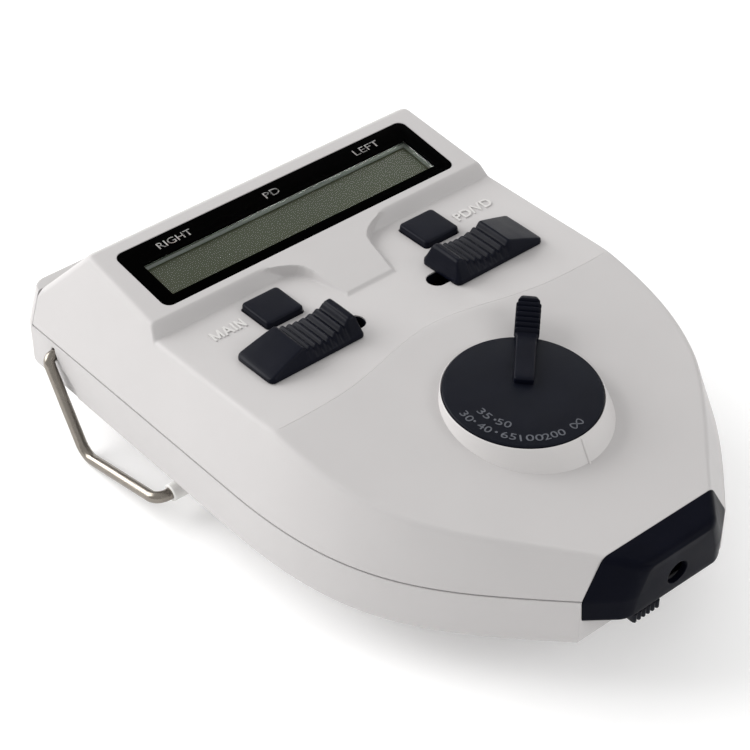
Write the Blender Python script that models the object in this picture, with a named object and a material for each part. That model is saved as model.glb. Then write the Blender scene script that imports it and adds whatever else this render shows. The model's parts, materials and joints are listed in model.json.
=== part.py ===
"""Digital corneal-reflection pupillary distance meter, modelled in metres with +Z up.

Drawing frame, in millimetres: x to the examiner's right, y from the eyepiece towards the
patient, z up, with the dial centre at x = y = 0 and the case parting plane at z = 0.
Every object is moved by SHIFT so that the origin is the bottom centre of the whole.
"""

import math

import bmesh
import bpy
import numpy as np
from mathutils import Vector

# ---------------------------------------------------------------- driving dimensions, mm
WALL = 2.2
GAP = 0.3  # between pieces that move against each other
SNUG = 0.06  # between pieces that are fixed to each other
HALF_W = 79.24  # case half width at the parting plane
Y_NOSE = -58.7  # plane where the black nose cap starts
Y_SEAM = 154.1  # vertical seam between the upper case and the rear wall
Y_REAR = 159.5
Z_FLOOR = -17.3
Z_REAR_TOP = 12.7
DRAFT_SIDE = 0.317
DRAFT_NOSE = 0.44
OUTLINE_BEZIER = [(HALF_W, 44.1), (HALF_W, -10.6), (61.9, -27.5), (30.7, Y_NOSE)]
REAR_CORNER_R = 5.5

Z_CREASE = 27.0
CREASE = [(0, 43.3), (14.5, 40.9), (30, 36.6), (42.2, 34.3), (60, 33.7), (70.6, 34.1), (95, 34.1)]
FRONT_SLOPE = 0.148
PANEL = [(69.5, 26.2), (93.2, 25.9)]  # y, z of the rear panel
PLATEAU_Y, PLATEAU_Z, PLATEAU_SLOPE = 97.0, 30.35, 0.138
PLATEAU_FRONT = 96.2
REAR_EDGE = (133.5, 35.39)
SLOPE_END = (154.5, 12.7)

BEZEL_HALF, BEZEL_Y = 61.25, (99.45, 128.14)
WINDOW_HALF, WINDOW_Y = 55.8, (103.5, 119.8)

DIAL_R, DIAL_T = 25.0, 1.8
DIAL_Z, DIAL_TILT = 26.64, 0.0543
PEDESTAL_TOP_R, PEDESTAL_FLARE = 24.9, 0.46
LEVER_ANGLE = 45.5  # from +y towards +x
LEVER_TIP = 39.5
DIAL_SWEEP = 100.0  # degrees
LENS_TRAVEL = 12.0
LENS_Y = -22.0

BUTTON_X, BUTTON_Y = 33.2, 81.2
BUTTON_W, BUTTON_D = 14.6, 14.2
SLOT_X, SLOT_Y, SLOT_R = (13.8, 52.0), 59.2, 3.7
CAP_Y = 60.2

BAIL_PIVOT = (142.8, -6.1)
BAIL_LEG_X = 81.6
BAIL_WIRE_R = 2.0
BAIL_ELBOW = (124.6, -37.0)
BAIL_BAR = (83.0, -28.4)
SLEEVE_R = 3.0

CELL_R, CELL_L = 7.25, 50.0
CELL_X = (49.0, 63.8)
CELL_Y = (0.0, 50.0)
DOOR_X, DOOR_Y = (39.0, 72.0), (-3.0, 56.0)

EYE_Z = -0.3
SCREWS = [(60.0, 147.0), (33.0, -43.0)]

TOP_EDGE_Z = 42.0
SHIFT = np.array([0.0, -(Y_REAR + 1.8 - 68.9) / 2, 38.288])

for obj in list(bpy.data.objects):
    bpy.data.objects.remove(obj)


# ---------------------------------------------------------------- materials
def material(name, rgb, rough, metal=0.0, trans=0.0):
    mat = bpy.data.materials.new(name)
    mat.use_nodes = True
    bsdf = mat.node_tree.nodes["Principled BSDF"]
    bsdf.inputs["Base Color"].default_value = (*rgb, 1.0)
    bsdf.inputs["Roughness"].default_value = rough
    bsdf.inputs["Metallic"].default_value = metal
    bsdf.inputs["Transmission Weight"].default_value = trans
    mat.diffuse_color = (*rgb, 1.0)
    return mat


BODY = material("body_plastic", (0.62, 0.60, 0.57), 0.5)
BLACK = material("black_plastic", (0.013, 0.015, 0.02), 0.45)
WHITE = material("white_plastic", (0.72, 0.71, 0.69), 0.4)
STEEL = material("satin_steel", (0.55, 0.54, 0.52), 0.3, 1.0)
GLASS = material("clear_glass", (0.9, 0.93, 0.93), 0.05, 0.0, 0.9)
LCD = material("lcd_grey", (0.075, 0.085, 0.05), 0.25)
PCB = material("pcb_green", (0.02, 0.12, 0.05), 0.5)
RUBBER = material("rubber_black", (0.02, 0.02, 0.02), 0.85)
BRASS = material("brass", (0.6, 0.45, 0.18), 0.35, 1.0)
CELL = material("cell_jacket", (0.08, 0.12, 0.2), 0.35)
AMBER = material("lamp_amber", (0.8, 0.25, 0.03), 0.3)


# ---------------------------------------------------------------- mesh helpers
def raw(name, points, faces):
    mesh = bpy.data.meshes.new(name)
    mesh.from_pydata([tuple(map(float, p)) for p in points], [], [tuple(f) for f in faces])
    obj = bpy.data.objects.new(name, mesh)
    bpy.context.scene.collection.objects.link(obj)
    bm = bmesh.new()
    bm.from_mesh(mesh)
    bmesh.ops.recalc_face_normals(bm, faces=bm.faces)
    bm.to_mesh(mesh)
    bm.free()
    return obj


def hull(name, points):
    bm = bmesh.new()
    for p in points:
        bm.verts.new(tuple(map(float, p)))
    out = bmesh.ops.convex_hull(bm, input=bm.verts)
    bmesh.ops.delete(bm, geom=[v for v in bm.verts if not v.link_faces], context="VERTS")
    bmesh.ops.dissolve_limit(bm, angle_limit=0.002, verts=bm.verts, edges=bm.edges)
    bmesh.ops.recalc_face_normals(bm, faces=bm.faces)
    mesh = bpy.data.meshes.new(name)
    bm.to_mesh(mesh)
    bm.free()
    obj = bpy.data.objects.new(name, mesh)
    bpy.context.scene.collection.objects.link(obj)
    return obj


def loft(name, rings):
    """Closed solid through rings that hold the same number of points."""
    n = len(rings[0])
    points = [p for ring in rings for p in ring]
    faces = [tuple(range(n)), tuple((len(rings) - 1) * n + i for i in range(n))]
    for r in range(len(rings) - 1):
        for i in range(n):
            a, b = r * n + i, r * n + (i + 1) % n
            faces.append((a, b, b + n, a + n))
    return raw(name, points, faces)


def axis_point(axis, u, v, w):
    return {"x": (w, u, v), "y": (u, w, v), "z": (u, v, w)}[axis]


def prism(name, poly, axis, a, b):
    """Polygon (u, v) pushed along an axis from a to b."""
    return loft(name, [[axis_point(axis, u, v, w) for u, v in poly] for w in (a, b)])


def lathe(name, profile, axis="z", centre=(0, 0), segments=32, flat=None):
    """Closed profile (radius, height) turned about an axis through centre."""
    points, faces = [], []
    index = []
    for r, h in profile:
        if r < 1e-6:
            index.append([len(points)] * segments)
            points.append(axis_point(axis, centre[0], centre[1], h))
        else:
            start = len(points)
            index.append([start + k for k in range(segments)])
            for k in range(segments):
                a = 2 * math.pi * k / segments
                points.append(axis_point(axis, centre[0] + r * math.cos(a), centre[1] + r * math.sin(a), h))
    m = len(profile)
    for i in range(m):
        j = (i + 1) % m
        if profile[i][0] < 1e-6 and profile[j][0] < 1e-6:
            continue
        for k in range(segments):
            face = []
            for v in (index[i][k], index[i][(k + 1) % segments], index[j][(k + 1) % segments], index[j][k]):
                if v not in face:
                    face.append(v)
            faces.append(face)
    return raw(name, points, faces)


def disc(name, r, a, b, axis="z", centre=(0, 0), segments=32, ch=0.0):
    return lathe(name, [(0, a), (r - ch, a), (r, a + ch), (r, b - ch), (r - ch, b), (0, b)] if ch
                 else [(0, a), (r, a), (r, b), (0, b)], axis, centre, segments)


def ring(name, r1, r0, a, b, axis="z", centre=(0, 0), segments=32):
    return lathe(name, [(r0, a), (r1, a), (r1, b), (r0, b)], axis, centre, segments)


def box(name, x, y, z, ch=0.0):
    if not ch:
        return prism(name, [(x[0], y[0]), (x[1], y[0]), (x[1], y[1]), (x[0], y[1])], "z", z[0], z[1])
    points = []
    for i in (0, 1):
        for j in (0, 1):
            for k in (0, 1):
                sx, sy, sz = 1 - 2 * i, 1 - 2 * j, 1 - 2 * k
                for dx, dy, dz in ((0, ch, ch), (ch, 0, ch), (ch, ch, 0)):
                    points.append((x[i] + sx * dx, y[j] + sy * dy, z[k] + sz * dz))
    return hull(name, points)


def rounded(x, y, r, steps=4):
    """Rounded rectangle as a polygon."""
    out = []
    for cx, cy, a0 in ((x[1] - r, y[1] - r, 0), (x[0] + r, y[1] - r, 90), (x[0] + r, y[0] + r, 180), (x[1] - r, y[0] + r, 270)):
        for k in range(steps + 1):
            a = math.radians(a0 + 90 * k / steps)
            out.append((cx + r * math.cos(a), cy + r * math.sin(a)))
    return out


def grow(poly, d):
    """Offset of a convex polygon (or nearly) by d, outwards when d > 0."""
    p = np.array(poly, float)
    if np.sum(p[:, 0] * np.roll(p[:, 1], -1) - np.roll(p[:, 0], -1) * p[:, 1]) < 0:
        return [tuple(q) for q in np.array(grow(p[::-1], d))[::-1]]
    e = np.roll(p, -1, 0) - p
    e /= np.linalg.norm(e, axis=1)[:, None]
    n = np.stack([e[:, 1], -e[:, 0]], 1)
    n0 = np.roll(n, 1, 0)
    k = 1 + np.sum(n * n0, axis=1)
    return [tuple(q) for q in p + d * (n + n0) / k[:, None]]


def boolean(obj, others, kind="DIFFERENCE"):
    for other in others:
        mod = obj.modifiers.new(kind.lower(), "BOOLEAN")
        mod.object, mod.operation, mod.solver = other, kind, "EXACT"
        graph = bpy.context.evaluated_depsgraph_get()
        mesh = bpy.data.meshes.new_from_object(obj.evaluated_get(graph))
        obj.modifiers.clear()
        obj.data = mesh
        bpy.data.objects.remove(other)
    return obj


def shape(obj, fn):
    for v in obj.data.vertices:
        v.co = Vector(tuple(map(float, fn(np.array(v.co)))))
    return obj


def in_plateau(p):
    a = math.atan(PLATEAU_SLOPE)
    c, s = math.cos(a), math.sin(a)
    v = (p[1] - PLATEAU_Y) / c
    return (p[0], PLATEAU_Y + v * c - p[2] * s, PLATEAU_Z + v * s + p[2] * c)


def in_dial(p):
    a = math.atan(DIAL_TILT)
    c, s = math.cos(a), math.sin(a)
    return (p[0], p[1] * c - p[2] * s, DIAL_Z + p[1] * s + p[2] * c)


def mirrored(obj, name):
    other = obj.copy()
    other.data = obj.data.copy()
    other.name = name
    bpy.context.scene.collection.objects.link(other)
    shape(other, lambda p: (-p[0], p[1], p[2]))
    bm = bmesh.new()
    bm.from_mesh(other.data)
    bmesh.ops.reverse_faces(bm, faces=bm.faces)
    bm.to_mesh(other.data)
    bm.free()
    return other


def finish(obj, mat, origin=(0, 0, 0), smooth=None):
    """Tidies the mesh, moves it to the object frame in metres and sets its origin, in drawing millimetres."""
    bm = bmesh.new()
    bm.from_mesh(obj.data)
    bmesh.ops.remove_doubles(bm, verts=bm.verts, dist=0.0005)
    bmesh.ops.dissolve_degenerate(bm, dist=0.0004, edges=bm.edges)
    bmesh.ops.triangulate(bm, faces=[f for f in bm.faces if len(f.verts) > 4])
    bm.to_mesh(obj.data)
    bm.free()
    o = np.array(origin, float)
    shape(obj, lambda p: (p - o) * 0.001)
    obj.location = Vector(tuple((o + SHIFT) * 0.001))
    obj.data.materials.clear()
    obj.data.materials.append(mat)
    for poly in obj.data.polygons:
        poly.material_index = 0
        poly.use_smooth = bool(smooth)
    if smooth:
        bm = bmesh.new()
        bm.from_mesh(obj.data)
        for edge in bm.edges:
            edge.smooth = len(edge.link_faces) == 2 and edge.calc_face_angle(0) < math.radians(smooth)
        bm.to_mesh(obj.data)
        bm.free()
    return obj


# ---------------------------------------------------------------- case surfaces
def half_outline(rear):
    """(x, y, draft) from the nose corner to the rear corner, x > 0."""
    p = np.array(OUTLINE_BEZIER, float)[::-1]
    out = []
    for k in range(15):
        t = k / 14
        q = (1 - t) ** 3 * p[0] + 3 * (1 - t) ** 2 * t * p[1] + 3 * (1 - t) * t * t * p[2] + t ** 3 * p[3]
        out.append((q[0], q[1], DRAFT_NOSE + (DRAFT_SIDE - DRAFT_NOSE) * min(1, t * 2.2)))
    if rear:
        for k in range(6):
            a = math.radians(90 * k / 5)
            r = REAR_CORNER_R
            out.append((HALF_W - r + r * math.cos(a), Y_REAR - r + r * math.sin(a), DRAFT_SIDE * math.cos(a)))
    else:
        out.append((HALF_W, Y_SEAM, DRAFT_SIDE))
    return out


def drafted(z, inset, rear=True, drop=0.0):
    """Outline polygon at height z; drop lets the inside follow the same slope."""
    half = half_outline(rear)
    pts = [(x, y) for x, y, _ in half]
    poly = pts + [(-x, y) for x, y in pts[::-1]]
    p = np.array(poly)
    e = np.roll(p, -1, 0) - p
    e /= np.linalg.norm(e, axis=1)[:, None]
    n = np.stack([e[:, 1], -e[:, 0]], 1)
    n0 = np.roll(n, 1, 0)
    k = 1 + np.sum(n * n0, axis=1)
    d = np.array([h[2] for h in half] + [h[2] for h in half[::-1]])
    off = -(n + n0) / k[:, None] * (inset + d * max(z, 0))[:, None]
    q = p + off
    flat = np.abs(p[:, 1] - Y_NOSE) < 1e-6
    edge = np.where(flat)[0]
    for i in edge:  # the nose plane has no draft: only x moves, along the side's own offset
        q[i, 1] = Y_NOSE + inset
        q[i, 0] = p[i, 0] - math.copysign((d[i] * max(z, 0) + inset) * 1.32 - inset * 0.6, p[i, 0])
    if not rear:
        for i in np.where(np.abs(p[:, 1] - Y_SEAM) < 1e-6)[0]:
            q[i, 1] = Y_SEAM
            q[i, 0] = p[i, 0] - math.copysign(inset + d[i] * max(z, 0), p[i, 0])
    return [(x, y, z) for x, y in q]


def top_solid(name, drop, bottom):
    """Everything under the top surface, lowered by drop."""
    xs = sorted({s * x for x, _ in CREASE for s in (1, -1)})
    crease = {abs(x): y for x, y in CREASE}
    slope = (SLOPE_END[1] - REAR_EDGE[1]) / (SLOPE_END[0] - REAR_EDGE[0])
    lean = drop * math.sqrt(1 + slope * slope)  # the rear slope drops by more for the same wall

    def plateau(y):
        return PLATEAU_Z + PLATEAU_SLOPE * (y - PLATEAU_Y) - drop

    def rear(y):
        return REAR_EDGE[1] + slope * (y - REAR_EDGE[0]) - lean

    y_edge = REAR_EDGE[0] - (lean - drop) / (PLATEAU_SLOPE - slope)
    rings = []
    for x in xs:
        yc = crease[abs(x)]
        rear_y = 175.0
        rings.append([
            (x, -80.0, bottom), (x, -80.0, Z_CREASE - FRONT_SLOPE * (34 + 80) - drop),
            (x, yc, Z_CREASE - drop), (x, 69.5, PANEL[0][1] - drop), (x, PANEL[1][0] + drop, PANEL[1][1] - drop),
            (x, PLATEAU_FRONT + drop, plateau(PLATEAU_FRONT + drop)), (x, y_edge, plateau(y_edge)),
            (x, rear_y, rear(rear_y)), (x, rear_y, bottom),
        ])
    return loft(name, rings)


def shell_blank(name, inset, z0, z1, rear=True):
    return loft(name, [drafted(z0, inset, rear), drafted(z1, inset, rear)] if z0 >= 0
                else [drafted(z0, inset, rear), drafted(0, inset, rear), drafted(z1, inset, rear)])


def panel_z(y):
    return PANEL[0][1] + (69.5 - y) * (Z_CREASE - PANEL[0][1]) / (69.5 - 34.0)


# ---------------------------------------------------------------- upper case
upper = boolean(shell_blank("upper_case", 0.0, 0.0, TOP_EDGE_Z, rear=False), [top_solid("top", 0.0, -5.0)], "INTERSECT")
tab = [(10.0, 72.0), (11.6, 78.5), (12.8, 86.0), (15.0, 91.0), (19.0, 94.0), (19.0, 99.0)]
tab = tab + [(-x, y) for x, y in tab[::-1]]
tab_obj = prism("tab", tab, "z", -3.0, 0.0)
shape(tab_obj, in_plateau)
boolean(upper, [tab_obj], "UNION")
reach = 9.0
pedestal = lathe("pedestal", [(0, -DIAL_T - GAP - reach), (PEDESTAL_TOP_R + PEDESTAL_FLARE * reach, -DIAL_T - GAP - reach),
                              (PEDESTAL_TOP_R, -DIAL_T - GAP), (0, -DIAL_T - GAP)], segments=48)
shape(pedestal, in_dial)
boolean(upper, [pedestal], "UNION")
hollow = boolean(shell_blank("hollow", WALL, 0.0, TOP_EDGE_Z), [top_solid("under", WALL, -5.0)], "INTERSECT")
hollow_low = loft("hollow_low", [drafted(-5, WALL), drafted(0.0, WALL)])
boolean(hollow, [loft("below", [[(x, y, -5.0) for x, y, _ in drafted(0, WALL)], [(x, y, 0.05) for x, y, _ in drafted(0, WALL)]])], "UNION")
bpy.data.objects.remove(hollow_low)
boolean(upper, [hollow])
# screw posts hang from the roof
for sx in (1, -1):
    for x, y in SCREWS:
        top = 14.2 if y > 0 else 11.0
        post = disc("post", 4.2, GAP, top, "z", (sx * x, y), 20)
        boolean(upper, [post], "UNION")
        boolean(upper, [disc("pilot", 1.8, -1, 8.0, "z", (sx * x, y), 16)])
cutters = [box("seam", (-120, 120), (-120, 220), (-8, GAP / 2))]
# display pocket and light opening
pocket = prism("pocket", rounded((-BEZEL_HALF - 0.15, BEZEL_HALF + 0.15), (BEZEL_Y[0] - 0.15, BEZEL_Y[1] + 0.15), 3.1), "z", -1.2, 9)
light = box("light", (-WINDOW_HALF - 1.0, WINDOW_HALF + 1.0), (WINDOW_Y[0] - 1.0, WINDOW_Y[1] + 1.0), (-9, 9))
cutters += [shape(pocket, in_plateau), shape(light, in_plateau)]
for sx in (1, -1):
    cutters.append(prism("keyway", rounded((sx * BUTTON_X - BUTTON_W / 2 - GAP, sx * BUTTON_X + BUTTON_W / 2 + GAP),
                                           (BUTTON_Y - BUTTON_D / 2 - GAP, BUTTON_Y + BUTTON_D / 2 + GAP), 1.3, 3), "z", 15, 33))
    xs = sorted((sx * SLOT_X[0], sx * SLOT_X[1]))
    cutters.append(prism("slot", rounded(xs, (SLOT_Y - SLOT_R, SLOT_Y + SLOT_R), SLOT_R - 0.01, 6), "z", 15, 33))
    cutters.append(disc("rod_socket", 2.8, 68.0, 73.5, "x", (SLOT_Y, 13.0), 20) if sx > 0
                   else disc("rod_socket", 2.8, -73.5, -68.0, "x", (SLOT_Y, 13.0), 20))
cutters.append(shape(disc("shaft_hole", 3.3, -16, 4, segments=24), in_dial))
cutters.append(disc("sight_hole", 6.3, -70, -50, "y", (0, EYE_Z), 32))
boolean(upper, cutters)
finish(upper, BODY, smooth=24)

# ---------------------------------------------------------------- lower case
lower = loft("lower_case", [[(x, y, Z_FLOOR) for x, y, _ in drafted(0, 0.6)], [(x, y, Z_FLOOR + 0.6) for x, y, _ in drafted(0, 0)],
                            drafted(0.0, 0), drafted(Z_REAR_TOP, 0)])
boolean(lower, [box("upper_space", (-120, 120), (-120, Y_SEAM + GAP / 2), (-GAP / 2, 60))])
boolean(lower, [loft("inner", [[(x, y, Z_FLOOR + WALL) for x, y, _ in drafted(0, WALL)], drafted(0.0, WALL), drafted(Z_REAR_TOP - WALL, WALL)])])
for sx in (1, -1):
    for x, y in SCREWS:
        boolean(lower, [disc("post", 4.6, Z_FLOOR + 0.5, -GAP, "z", (sx * x, y), 20)], "UNION")
        boolean(lower, [disc("bore", 3.1, Z_FLOOR - 1, Z_FLOOR + 7, "z", (sx * x, y), 20),
                        disc("through", 1.8, Z_FLOOR - 1, 2, "z", (sx * x, y), 16)])
# ribs that carry the focusing lens rails, and the cell tray's inner wall
for y0 in (-53.0, 8.0):
    boolean(lower, [box("rib", (-20, 20), (y0, y0 + 2.4), (Z_FLOOR + 1, -8.0))], "UNION")
boolean(lower, [box("tray", (36.4, 38.0), (-6.0, 58.0), (Z_FLOOR + 1, -2.0))], "UNION")
for sx in (1, -1):
    cut = [disc("rail_socket", 1.8, -54.2, 9.4, "y", (sx * 15.0, -11.5), 16)]
    pin = (74.0, 90.0) if sx > 0 else (-90.0, -74.0)
    cut.append(disc("pin_hole", BAIL_WIRE_R + 0.4, pin[0], pin[1], "x", BAIL_PIVOT, 20))
    # recess round the bail hub, on the outside of the wall
    rec = [(141.5, -GAP / 2 - 0.5), (140.7, -7.5), (135.8, -10.1), (131.5, -12.6), (130.1, -15.2), (129.6, -20), (170, -20), (170, -GAP / 2 - 0.5)]
    x0 = HALF_W - 0.9
    cut.append(prism("recess", rec, "x", *((x0, 99.0) if sx > 0 else (-99.0, -x0))))
    # round window to the patient's eye
    cut.append(disc("view", 9.7, 150, 170, "y", (sx * 31.5, -2.13), 30))
    cut.append(disc("view_seat", 11.3, 150, Y_REAR - 1.2, "y", (sx * 31.5, -2.0), 32))
    boolean(lower, cut)
boolean(lower, [box("door_hole", (DOOR_X[0] - GAP, DOOR_X[1] + GAP), (DOOR_Y[0] - GAP, DOOR_Y[1] + GAP), (Z_FLOOR - 2, Z_FLOOR + 1.4)),
                box("tray_hole", (DOOR_X[0] + 1.2, DOOR_X[1] - 1.2), (DOOR_Y[0] + 1.2, DOOR_Y[1] - 1.2), (Z_FLOOR - 2, Z_FLOOR + 4)),
                disc("sight_hole", 6.3, -70, -50, "y", (0, EYE_Z), 32)])
finish(lower, BODY, smooth=24)

# ---------------------------------------------------------------- rear windows and nose pad
win = lathe("rear_window_right", [(0, Y_REAR - WALL - 0.9), (11.0, Y_REAR - WALL - 0.9), (11.0, Y_REAR - 1.26), (0, Y_REAR - 1.26)], "y", (31.5, -2.0), 32)
finish(mirrored(win, "rear_window_left"), GLASS, smooth=40)
finish(win, GLASS, smooth=40)
pad_shape = [(-17, -15.5), (-9.0, -15.5), (-6.0, -8.0), (-2.2, -3.5), (2.2, -3.5), (6.0, -8.0), (9.0, -15.5), (17, -15.5), (13.5, -3.0), (6.5, 3.5), (-6.5, 3.5), (-13.5, -3.0)]
finish(prism("nose_pad", pad_shape, "y", Y_REAR + SNUG, Y_REAR + 1.8), RUBBER)

# ---------------------------------------------------------------- nose cap and eyepiece
def nose(d, name, back):
    pts = []
    for s in (1, -1):
        pts += [(s * (22.9 - d * 1.1), back, 13.3 - d), (s * (30.9 - d * 1.25), back, 0 - d * 0.1), (s * (30.4 - d * 1.2), back, -8.6 + d)]
        pts += [(s * (14.2 - d * 0.9), -68.3 + d, 12.1 - d), (s * (13.1 - d * 0.9), -68.9 + d, 11.0 - d),
                (s * (15.9 - d), -68.1 + d, 0), (s * (18.6 - d), -67.4 + d, -7.4 + d), (s * (19.4 - d), -66.6 + d, -8.6 + d)]
    return hull(name, pts)


cap = nose(0.0, "nose_cap", Y_NOSE - SNUG)
boolean(cap, [nose(2.0, "nose_in", Y_NOSE + 4),
              lathe("eye_hole", [(0, -75), (6.0, -75), (6.0, -69.2), (3.9, -67.4), (3.9, -60), (0, -60)], "y", (0, EYE_Z), 32),
              box("knob_slot", (-15.0, 15.0), (-65.6, -63.4), (-12, -5))])
finish(cap, BLACK, smooth=24)
tube = lathe("eyepiece_tube", [(4.2, -62.4), (6.0, -62.4), (6.0, -47), (4.9, -47), (4.9, -60.4), (4.2, -60.4)], "y", (0, EYE_Z), 32)
finish(tube, BLACK, smooth=40)
lens = lathe("eyepiece_lens", [(0, -60.0), (2.6, -59.7), (4.84, -59.0), (4.84, -57.6), (2.6, -56.9), (0, -56.6)], "y", (0, EYE_Z), 24)
finish(lens, GLASS, smooth=60)

# beam splitter and fixation lamp behind the eyepiece
split = prism("beam_splitter", [(-46.0, -6.5), (-45.2, -7.1), (-33.2, 6.5), (-34.0, 7.1)], "x", -9.0, 9.0)
finish(split, GLASS)
finish(lathe("fixation_lamp", [(0, 7.6), (1.4, 7.9), (2.3, 9.2), (2.3, 11.6), (0, 11.6)], "z", (0, -38.5), 20), AMBER, smooth=50)
holder = box("lamp_holder", (-6, 6), (-42.5, -34.5), (9.6, 12.6))
boolean(holder, [disc("lamp_hole", 2.4, 8, 11.8, "z", (0, -38.5), 20)])
finish(holder, BLACK)

# large collimating lens that spans both lines of sight
half = 42.5
front, back = [], []
for k in range(13):
    x = -half + 2 * half * k / 12
    sag = 3.0 * (1 - (x / half) ** 2)
    front.append((x, 47.6 - sag))
    back.append((x, 49.8 + sag))
poly = front + back[::-1]
finish(prism("collimating_lens", [(x * 0.82, y) for x, y in poly], "z", -14.0, 8.5), GLASS, smooth=30)

# ---------------------------------------------------------------- display, board, switches
bezel = prism("display_bezel", rounded((-BEZEL_HALF, BEZEL_HALF), BEZEL_Y, 3.0), "z", -1.1, 0.05)
boolean(bezel, [box("glass_hole", (-WINDOW_HALF, WINDOW_HALF), WINDOW_Y, (-3, 3))])
finish(shape(bezel, in_plateau), BLACK, smooth=24)
window = box("display_window", (-WINDOW_HALF - 0.6, WINDOW_HALF + 0.6), (WINDOW_Y[0] - 0.6, WINDOW_Y[1] + 0.6), (-2.4, -1.2))
finish(shape(window, in_plateau), GLASS)
lcd = box("lcd_panel", (-WINDOW_HALF - 2.5, WINDOW_HALF + 2.5), (WINDOW_Y[0] - 2.6, WINDOW_Y[1] + 2.6), (-5.4, -2.9), 0.2)
finish(shape(lcd, in_plateau), LCD)
board = box("main_board", (-58, 58), (73, 128), (15.4, 17.0))
boolean(board, [disc("board_hole", 1.7, 10, 20, "z", (x, y), 12) for x in (-54, 54) for y in (77, 124)])
finish(board, PCB)
finish(box("battery_lead", (60.2, 61.4), (59, 100), (4.0, 8.0)), BLACK)
for sx, side in ((1, "right"), (-1, "left")):
    c = sx * BUTTON_X
    s1 = prism("%s_switch" % side, [(c - 3, 78.2), (c + 3, 78.2), (c + 3, 84.2), (c - 3, 84.2)], "z", 17.06, 20.4)
    boolean(s1, [disc("plunger", 1.7, 19.5, 21.6, "z", (c, BUTTON_Y), 16)], "UNION")
    finish(s1, BLACK)
for sx, name in ((-1, "main_button"), (1, "mode_button")):
    c = sx * BUTTON_X
    w, d = BUTTON_W / 2, BUTTON_D / 2
    rings = []
    for inset, z in ((-0.9, 22.4), (-0.9, 23.1), (0, 23.2), (0, 27.5), (0.35, 28.1), (1.0, 28.4), (4.5, 28.7)):
        rings.append([(x, y, z) for x, y in rounded((c - w + inset, c + w - inset), (BUTTON_Y - d + inset, BUTTON_Y + d - inset), max(1.2 - inset * 0.2, 0.4), 3)])
    finish(loft(name, rings), BLACK, (c, BUTTON_Y, 27.0), smooth=30)

# ---------------------------------------------------------------- sliders
def cap_rings():
    """Stations (x, top z, top half width, base half width) of the left cap, x positive here."""
    st = [(57.2, 28.3, 6.9, 7.2), (56.6, 28.6, 8.2, 8.7), (55.6, 29.0, 8.3, 9.05), (50.0, 31.1, 7.8, 9.05), (44.6, 33.1, 7.25, 9.05), (43.6, 33.35, 7.1, 9.05)]
    n, x1, x0 = 22, 42.8, 24.6
    for k in range(n):
        x = x1 + (x0 - x1) * k / (n - 1)
        u = (43.6 - x) / (43.6 - 24.0)
        base = 33.35 + (34.0 - 33.35) * u - 9.8 * u * (1 - u)
        st.append((x, base + (0.38 if k % 3 == 1 else 0.0) - 0.1, 7.1 - 1.3 * u, 9.05))
    st += [(24.0, 34.0, 5.9, 9.05), (23.6, 34.3, 5.85, 9.05), (22.6, 34.5, 5.8, 9.05), (21.7, 34.2, 5.8, 8.9), (20.4, 30.0, 7.0, 8.3), (19.5, 27.9, 6.9, 7.2)]
    rings = []
    for x, z, top, base in st:
        c = CAP_Y
        r = []
        for y, zz in ((c - base, 0), (c - base, 1.5), (c - top - 0.35, None), (c - top + 0.5, z), (c + top - 0.5, z), (c + top + 0.35, None), (c + base, 1.5), (c + base, 0)):
            if zz is None:
                zz = z - 0.6
            elif zz in (0, 1.5):
                zz = panel_z(y) + GAP + min(zz, (z - 27.1) * 0.5)
            r.append((x, y, zz))
        rings.append(r)
    return rings


right_cap = loft("right_slider_cap", cap_rings())
left_cap = mirrored(right_cap, "left_slider_cap")
under = panel_z(SLOT_Y) + GAP - SNUG
T = [(24.0, 8.0), (48.0, 8.0), (48.0, 20.0), (40.5, 20.0), (40.5, under - 0.1), (35.0, under - 0.1), (35.0, 20.0), (24.0, 20.0)]
car = prism("right_carriage", T, "y", SLOT_Y - 3.2, SLOT_Y + 3.2)
wide = box("wide", (24.5, 47.5), (SLOT_Y - 5.5, SLOT_Y + 5.5), (9.0, 18.0))
boolean(car, [wide], "UNION")
boolean(car, [disc("bore", 2.3 + GAP, 0, 90, "x", (SLOT_Y, 13.0), 20)])
left_car = mirrored(car, "left_carriage")
hair = disc("right_hairline", 0.45, -13.0, 7.94, "z", (32.0, SLOT_Y), 10)
left_hair = mirrored(hair, "left_hairline")
for sx, items in ((1, (right_cap, car, hair)), (-1, (left_cap, left_car, left_hair))):
    o = (sx * 38.0, SLOT_Y, 13.0)
    finish(items[0], BLACK, o, smooth=20)
    finish(items[1], BLACK, o, smooth=20)
    finish(items[2], STEEL, o, smooth=50)
finish(disc("slide_rod", 2.3, -73.0, 73.0, "x", (SLOT_Y, 13.0), 24, 0.3), STEEL, smooth=40)
finish(box("scale_strip", (-60, 60), (SLOT_Y + 7.2, SLOT_Y + 8.4), (10.0, 18.0)), BRASS)

# ---------------------------------------------------------------- dial, lever, cam, lens carriage
plate = lathe("dial_disc", [(0, -0.9), (3.4, -0.9), (3.4, -DIAL_T), (DIAL_R - 0.3, -DIAL_T), (DIAL_R, -DIAL_T + 0.3), (DIAL_R, -0.35), (DIAL_R - 0.35, 0), (0, 0)], segments=64)
shape(plate, in_dial)


def arm_section(half, low, high, ch):
    return [(-half, low), (-half, high - ch), (-half + ch, high), (half - ch, high), (half, high - ch), (half, low)]


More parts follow.
